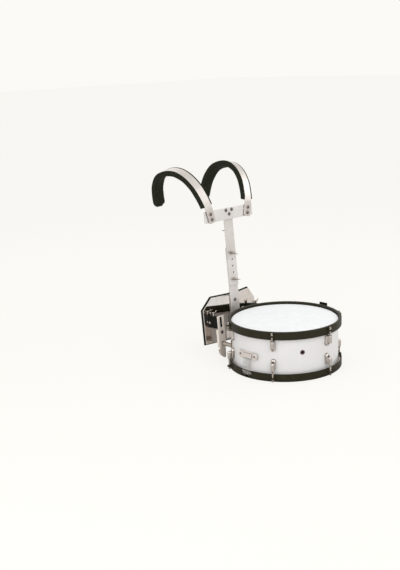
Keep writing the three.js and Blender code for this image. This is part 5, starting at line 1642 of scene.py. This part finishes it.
@dataclass
class BellyRest:
    """The mirror-polished plate with swept wings, and the foam pad behind it."""

    half: float = 127.0
    flat_half: float = 24.0
    sweep_share: float = 0.246
    thick: float = 2.5
    foot: float = -103.0
    top: float = 56.0
    chamfer_half: float = 91.0
    chamfer_foot: float = 16.0
    front: float = 10.6
    pad_margin: float = 4.0
    pad_thick: float = 14.0
    crown: float = 4.0

    def swept(self, x: np.ndarray) -> np.ndarray:
        """How far back the plate lies at x: nothing on the flat, then a share of the way out, eased."""
        past = np.abs(x) - self.flat_half
        return self.sweep_share * (past + np.sqrt(past**2 + 9)) / 2

    def upper_edge(self, x: np.ndarray, margin: float) -> np.ndarray:
        """The top edge's height at x: level, then down the chamfer."""
        slope = (self.top - self.chamfer_foot) / (self.half - self.chamfer_half)
        return self.top + margin - slope * np.maximum(np.abs(x) - self.chamfer_half - margin / 2, 0)

    def columns(self, half: float) -> np.ndarray:
        """Places across the plate, closer together at its bends, chamfers and edges."""
        bends = np.add.outer((self.flat_half, self.chamfer_half), (-3, -1.5, 0, 1.5, 3)).ravel()
        return np.unique(np.round(np.r_[np.linspace(-half, half, 61), bends, -bends], 4))

    def build(self) -> Pieces:
        """Plate and pad.

        Returns:
            The pieces.
        """
        place = carrier_place()
        x = self.columns(self.half)
        v = np.linspace(0, 1, 25)[:, None]
        z = self.foot + v * (self.upper_edge(x, 0)[None] - self.foot)
        depth = self.front + self.swept(x)[None] + 0 * v
        front = np.stack([x[None] + 0 * v, depth, z], axis=-1)
        back = front + np.array([0, self.thick, 0])
        sheet = make_piece("belly_sheet", slab(front, back).placed(place), MIRROR_SHEET, DRUM_BODY,
                           ("belly_plate",), 25)
        edge = sheet.modifiers.new("edge", "BEVEL")
        edge.width, edge.segments = 0.5 * MM, 2
        edge.limit_method, edge.angle_limit = "ANGLE", math.radians(60)
        sheet.modifiers.move(len(sheet.modifiers) - 1, 0)
        pad = make_piece("belly_cushion", self.pad().placed(place), FOAM, DRUM_BODY, ("belly_pad",), 60)
        return [sheet, pad]

    def pad(self) -> Surface:
        """The pad: flat against the plate, crowned towards the player, with its rim drawn in.

        With u and w from -1 to 1 across and up, the thickness is the crown times
        (1 - |u|^9)^0.42 (1 - |w|^9)^0.42, and two crossing sines leave shallow dents in its face.

        Returns:
            The surface.
        """
        half = self.half + self.pad_margin
        u = np.sin(np.linspace(-math.pi / 2, math.pi / 2, 75))
        w = np.sin(np.linspace(-math.pi / 2, math.pi / 2, 45))[:, None]
        x = u * half
        low = self.foot - self.pad_margin
        high = self.upper_edge(x, self.pad_margin)
        z = low + (w + 1) / 2 * (high[None] - low)
        near = self.front + self.thick + AIR + self.swept(x)[None] + 0 * w
        rim = np.power(1 - np.abs(u) ** 9, 0.42)[None] * np.power(1 - np.abs(w) ** 9, 0.42)
        dents = 0.55 * np.sin(x[None] / 21 + z / 15) + 0.35 * np.sin(x[None] / 10 - z / 18)
        tall = self.pad_thick - self.crown + self.crown * (1 - u[None] ** 2) * (1 - 0.5 * w**2) + dents
        drawn = 4.5 * (1 - rim)
        front = np.stack([x[None] + 0 * w, near + drawn, z], axis=-1)
        back = np.stack([x[None] + 0 * w, near + drawn + (tall - drawn) * rim, z], axis=-1)
        return slab(front, back)


@dataclass
class DrumMount:
    """One side's clamp block, clamp screw, hanger and latch."""

    side: Side
    spread: float = HANGER_SPREAD
    half: float = 15.0
    block_half: float = 8.0
    block_top: float = -4.0
    block_foot: float = -45.0
    front: float = HANGER_FRONT
    depth: float = 13.0
    wall: float = HANGER_WALL
    top: float = 0.0
    foot: float = -111.96
    latch_height: float = -101.96
    latch_depth: float = -16.0
    latch_drop: float = 47.0
    latch_step: float = 14.0
    latch_shoulder: float = 31.0
    latch_draft: float = 4.0
    screw_height: float = -57.0
    side_bolt: tuple[float, float] = (25.0, -28.0)
    wing_depth: float = 10.0
    notch_half: float = 5.2
    rest: BellyRest = field(default_factory=BellyRest)

    def build(self) -> Pieces:
        """Block, screw, hanger and latch.

        Returns:
            The pieces.
        """
        way, word = self.side.value, self.side.word
        screw = screw_head(*BUTTON_HEAD).placed(at(0, self.front + 0.1, self.screw_height, Axis.FRONT))
        outward = basis((0, way, 0), (0, 0, 1), (way, 0, 0), (way * (self.block_half - 0.1), *self.side_bolt))
        bolt = screw_head(4.6, 2.4, 1.7).placed(outward)
        wing = joined(wing_body(0.2), turned_piece(3, -13.6, 1, 0.3, 20)).placed(
            at(0, self.wing_depth, self.block_top + AIR))
        latch_body = f"latch_{word}_body"
        return make_pieces(carrier_place() @ at(way * self.spread, 0, 0), (
            ("hanger_channel_", self.hanger(), LIT_BRACKET, DRUM_BODY, "hanger_"),
            ("hanger_screw_", screw, DARK_STEEL, DRUM_BODY),
            ("clamp_moulding_", self.block(), BLOCK_PLASTIC, DRUM_BODY, "clamp_block_"),
            ("clamp_side_bolt_", bolt, DULL_CHROME, DRUM_BODY),
            ("clamp_wing_", wing, CHROME, f"clamp_screw_{word}_body", "clamp_screw_"),
            ("latch_tongue_", self.latch(), LIT_BRACKET, latch_body, "latch_"),
            ("latch_dip_", self.dip(), RUBBER, latch_body),
        ), word)

    def hanger(self) -> Surface:
        """A plate with a slot for the block's key; below the block a channel with a notch for the stud.

        Returns:
            The surface.
        """
        notch_top = (STUD_HEIGHT - UPRIGHT_HEIGHT + self.front * math.sin(LEAN)) / math.cos(LEAN)
        a, half, notch, foot = np.radians(np.linspace(0, 180, 15)), self.half, self.notch_half, -self.foot
        arch = np.stack([notch * np.cos(a), -notch_top - notch * np.sin(a)], axis=-1)
        right, left = [[half, -self.top], [half, foot], [notch, foot]], [[-notch, foot], [-half, foot]]
        web = np.vstack([[[-half, -self.top]], right, arch, left])
        slot = rounded((-4.8, 4.8), (4, 40), 2.0, hole=True)
        face = plate(web, self.wall, 0.7, (slot,)).placed(at(0, self.front + self.wall / 2, 0, Axis.Y))
        back = self.front + self.depth
        outline = eased([
            (self.front + 0.4, self.foot, 0.8), (back, self.foot + 3, 2.5),
            (back, self.block_foot - 3, 2.5), (self.front + 0.4, self.block_foot, 0.8),
        ])
        hole = circle(3.2, 20, (self.latch_depth, self.latch_height), clockwise=True)
        flange = plate(outline, self.wall, 0.7, (hole,))
        return joined(face, *[flange.placed(at(s * (half - self.wall / 2), 0, 0, Axis.X)) for s in (1, -1)])

    def block(self) -> Surface:
        """The clamp block: a tapered moulding between hanger and plate, with a key in the hanger's slot.

        Returns:
            The closed surface.
        """
        x = np.linspace(-self.block_half, self.block_half, 9)
        z = np.linspace(self.block_foot, self.block_top, 7)[:, None]
        back = self.rest.front + self.rest.swept(x + self.side.value * self.spread) - AIR
        near = np.full_like(x, self.front + self.wall + AIR)
        faces = [np.stack([x[None] + 0 * z, y[None] + 0 * z, z + 0 * x], axis=-1) for y in (near, back)]
        key = block((-4.5, 4.5), (self.front + 1, self.front + self.wall + 2), (-39.7, -4.3), 0.8, 0.9)
        return joined(slab(*faces), key)

    def latch(self) -> Surface:
        """The latch: a tongue below two eyes, tapering to a narrow tip, with a flange on its outer edge.

        The saddle between the eyes holds the stud's head in its notch.

        Returns:
            The surface.
        """
        drop, way, half = self.latch_drop, self.side.value, self.half
        inner = half - self.wall - 2 * AIR
        step, face, saddle = self.latch_step, self.latch_depth - 4.4, 9.0
        tongue = eased([
            (inner, 0, 0.8), (saddle, 0, 0.8), (saddle, 3.8, 1.2), (-saddle, 3.8, 1.2), (-saddle, 0, 0.8),
            (-inner, 0, 0.8), (-inner, step, 0.8), (-half, step, 1.2), (self.latch_draft - half, drop, 4),
            (11 - half, drop, 3), (half, self.latch_shoulder, 6), (half, step, 1.2), (inner, step, 0.8),
        ], 5)
        plane = plate(handed(tongue * (way, 1)), 4, 0.5).placed(at(0, face + 2, self.latch_height, Axis.Y))
        back = self.front + self.depth
        side = eased([(face + 0.2, -step, 1.0), (face + 0.2, -self.latch_shoulder - 4, 1.5),
                      (back - self.latch_draft, -self.latch_shoulder, 2.5), (back, -step, 1.6)], 4)
        flange = plate(handed(side), self.wall, 0.6).placed(
            at(way * (half - self.wall / 2), 0, self.latch_height, Axis.X))
        eyes = []
        for s in (1, -1):
            for radius, near, far in ((4.4, saddle, inner), (2.6, saddle + 0.5, half)):
                low, high = sorted((s * near, s * far))
                eyes.append(turned_piece(radius, low, high, 0.5, 32).placed(
                    at(0, self.latch_depth, self.latch_height, Axis.X)))
        return joined(plane, flange, *eyes)

    def dip(self) -> Surface:
        """The dark trim along the inner edge of the latch's tip, half a millimetre proud of the metal.

        Returns:
            The surface.
        """
        way, edge = self.side.value, self.latch_draft - self.half
        strip = eased([(edge - 1.2, 30, 0.8), (edge + 1.2, 30, 0.8), (edge + 2.2, self.latch_drop - 1.5, 0.8),
                       (edge - 0.4, self.latch_drop - 3, 0.8)], 4)
        return plate(handed(strip * (way, 1)), 4.9, 0.6).placed(
            at(0, self.latch_depth - 2.4, self.latch_height, Axis.Y))


@dataclass
class Studio:
    """A pale floor, soft lamps and the camera at the photograph's angle."""

    yaw: float = 47.45
    pitch: float = -14.08
    roll: float = -2.32
    focal_pixels: float = 907.2
    eye: tuple[float, float, float] = (-2168.6, -1952.9, 1011.3)
    background: str = "fbfaf6"

    def build(self) -> Pieces:
        """Camera, floor, lamps and world.

        Returns:
            The pieces.
        """
        scene = bpy.context.scene
        scene.view_settings.view_transform = "Standard"
        self.camera()
        self.world()
        floor = self.floor()
        for name, place, size, power in (
            ("key lamp", (-0.7, -2.0, 1.7), 1.8, 19.0),
            ("side lamp", (1.9, -0.9, 1.5), 1.4, 8.0),
            ("fill lamp", (-2.2, -0.5, 0.9), 1.2, 11.0),
            ("rear lamp", (0.2, 2.0, 1.8), 1.6, 5.0),
        ):
            self.lamp(name, place, size, power)
        return [floor]

    def camera(self) -> None:
        """The camera that was fitted to the photograph's hoops."""
        yaw, pitch, roll = (math.radians(v) for v in (self.yaw, self.pitch, self.roll))
        ahead = np.array([math.cos(yaw) * math.cos(pitch), math.sin(yaw) * math.cos(pitch), math.sin(pitch)])
        right = np.cross(ahead, (0, 0, 1))
        right /= np.linalg.norm(right)
        up = np.cross(right, ahead)
        across = right * math.cos(roll) + up * math.sin(roll)
        above = -right * math.sin(roll) + up * math.cos(roll)
        eye = (drum_axis() @ at(*self.eye))[:3, 3] * MM
        data = bpy.data.cameras.new("camera")
        data.sensor_fit, data.sensor_width, data.sensor_height = "VERTICAL", 36.0, 36.0
        data.lens = 36.0 * self.focal_pixels / PHOTO_SIZE[1]
        data.clip_start, data.clip_end = 0.05, 50
        camera = bpy.data.objects.new("camera", data)
        bpy.context.scene.collection.objects.link(camera)
        matrix = basis(tuple(across), tuple(above), tuple(-ahead), tuple(eye))
        camera.matrix_world = Matrix(matrix.tolist())
        bpy.context.scene.camera = camera

    def world(self) -> None:
        """An even pale world; the camera and shiny things see it as the backdrop's own colour."""
        world = bpy.data.worlds.new("pale room")
        bpy.context.scene.world = world
        world.use_nodes = True
        tree = world.node_tree
        tree.nodes.clear()
        rays = add_node(tree, "ShaderNodeLightPath").outputs
        sharp = add_node(tree, "ShaderNodeMath", {0: rays["Is Glossy Ray"], 1: rays["Is Transmission Ray"]},
                         operation="MAXIMUM")
        seen = add_node(tree, "ShaderNodeMath", {0: rays["Is Camera Ray"], 1: sharp.outputs[0]},
                        operation="MAXIMUM")
        room = add_node(tree, "ShaderNodeBackground", {"Color": linear("f4f4f4"), "Strength": 0.9})
        backdrop = add_node(tree, "ShaderNodeBackground", {"Color": linear(self.background), "Strength": 1.0})
        both = add_node(tree, "ShaderNodeMixShader", {
            0: seen.outputs[0], 1: room.outputs[0], 2: backdrop.outputs[0]})
        add_node(tree, "ShaderNodeOutputWorld", {"Surface": both.outputs[0]})

    def floor(self) -> bpy.types.Object:
        """A wide floor: the camera sees mostly its own pale colour, and a share of light keeps the shadow.

        Returns:
            The floor.
        """
        mesh = bpy.data.meshes.new("floor")
        mesh.from_pydata([(-30, -30, 0), (30, -30, 0), (30, 30, 0), (-30, 30, 0)], [], [(0, 1, 2, 3)])
        floor = bpy.data.objects.new("floor", mesh)
        bpy.context.scene.collection.objects.link(floor)
        made = bpy.data.materials.new("seamless paper")
        made.use_nodes = True
        tree = made.node_tree
        tree.nodes.clear()
        rays = add_node(tree, "ShaderNodeLightPath").outputs
        share = add_node(tree, "ShaderNodeMath", {0: rays["Is Camera Ray"], 1: 0.8}, operation="MULTIPLY")
        paper = add_node(tree, "ShaderNodeBsdfDiffuse", {"Color": linear("e0ddd8")})
        glow = add_node(tree, "ShaderNodeEmission", {"Color": linear(self.background), "Strength": 1.056})
        both = add_node(tree, "ShaderNodeMixShader", {
            0: share.outputs[0], 1: paper.outputs[0], 2: glow.outputs[0]})
        add_node(tree, "ShaderNodeOutputMaterial", {"Surface": both.outputs[0]})
        mesh.materials.append(made)
        return floor

    def lamp(self, name: str, place: tuple[float, float, float], size: float, power: float) -> None:
        """A square soft lamp at a place, turned to the middle of the object.

        Args:
            name: The lamp's name.
            place: Where it stands, in metres.
            size: Its side, in metres.
            power: Its power, in watts.
        """
        data = bpy.data.lights.new(name, "AREA")
        data.shape, data.size, data.energy = "SQUARE", size, power
        lamp = bpy.data.objects.new(name, data)
        bpy.context.scene.collection.objects.link(lamp)
        lamp.location = place
        lamp.rotation_euler = (Vector((0, 0, 0.3)) - Vector(place)).to_track_quat("-Z", "Y").to_euler()


def corners(box: object) -> list[list[float]]:
    """A box's two corners as plain lists."""
    return [[float(v) for v in corner] for corner in box]


def main() -> None:
    """Builds each sub-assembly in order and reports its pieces."""
    logging.basicConfig(level=logging.INFO, format="%(name)s: %(message)s")
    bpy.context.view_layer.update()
    assemblies = [
        Studio(), DrumShell(), DrumHeads(), CastHoops(), Tuning(), Snares(), ButtPlate(), Strainer(),
        ShellStuds(), Uprights(), BellyRest(),
        *[ShoulderHook(side) for side in Side], *[DrumMount(side) for side in Side],
    ]
    for assembly in assemblies:
        for piece in assembly.build():
            LOG.info("%s: %s, %d faces", type(assembly).__name__, piece.name, len(piece.data.polygons))


if __name__ == "__main__":
    main()
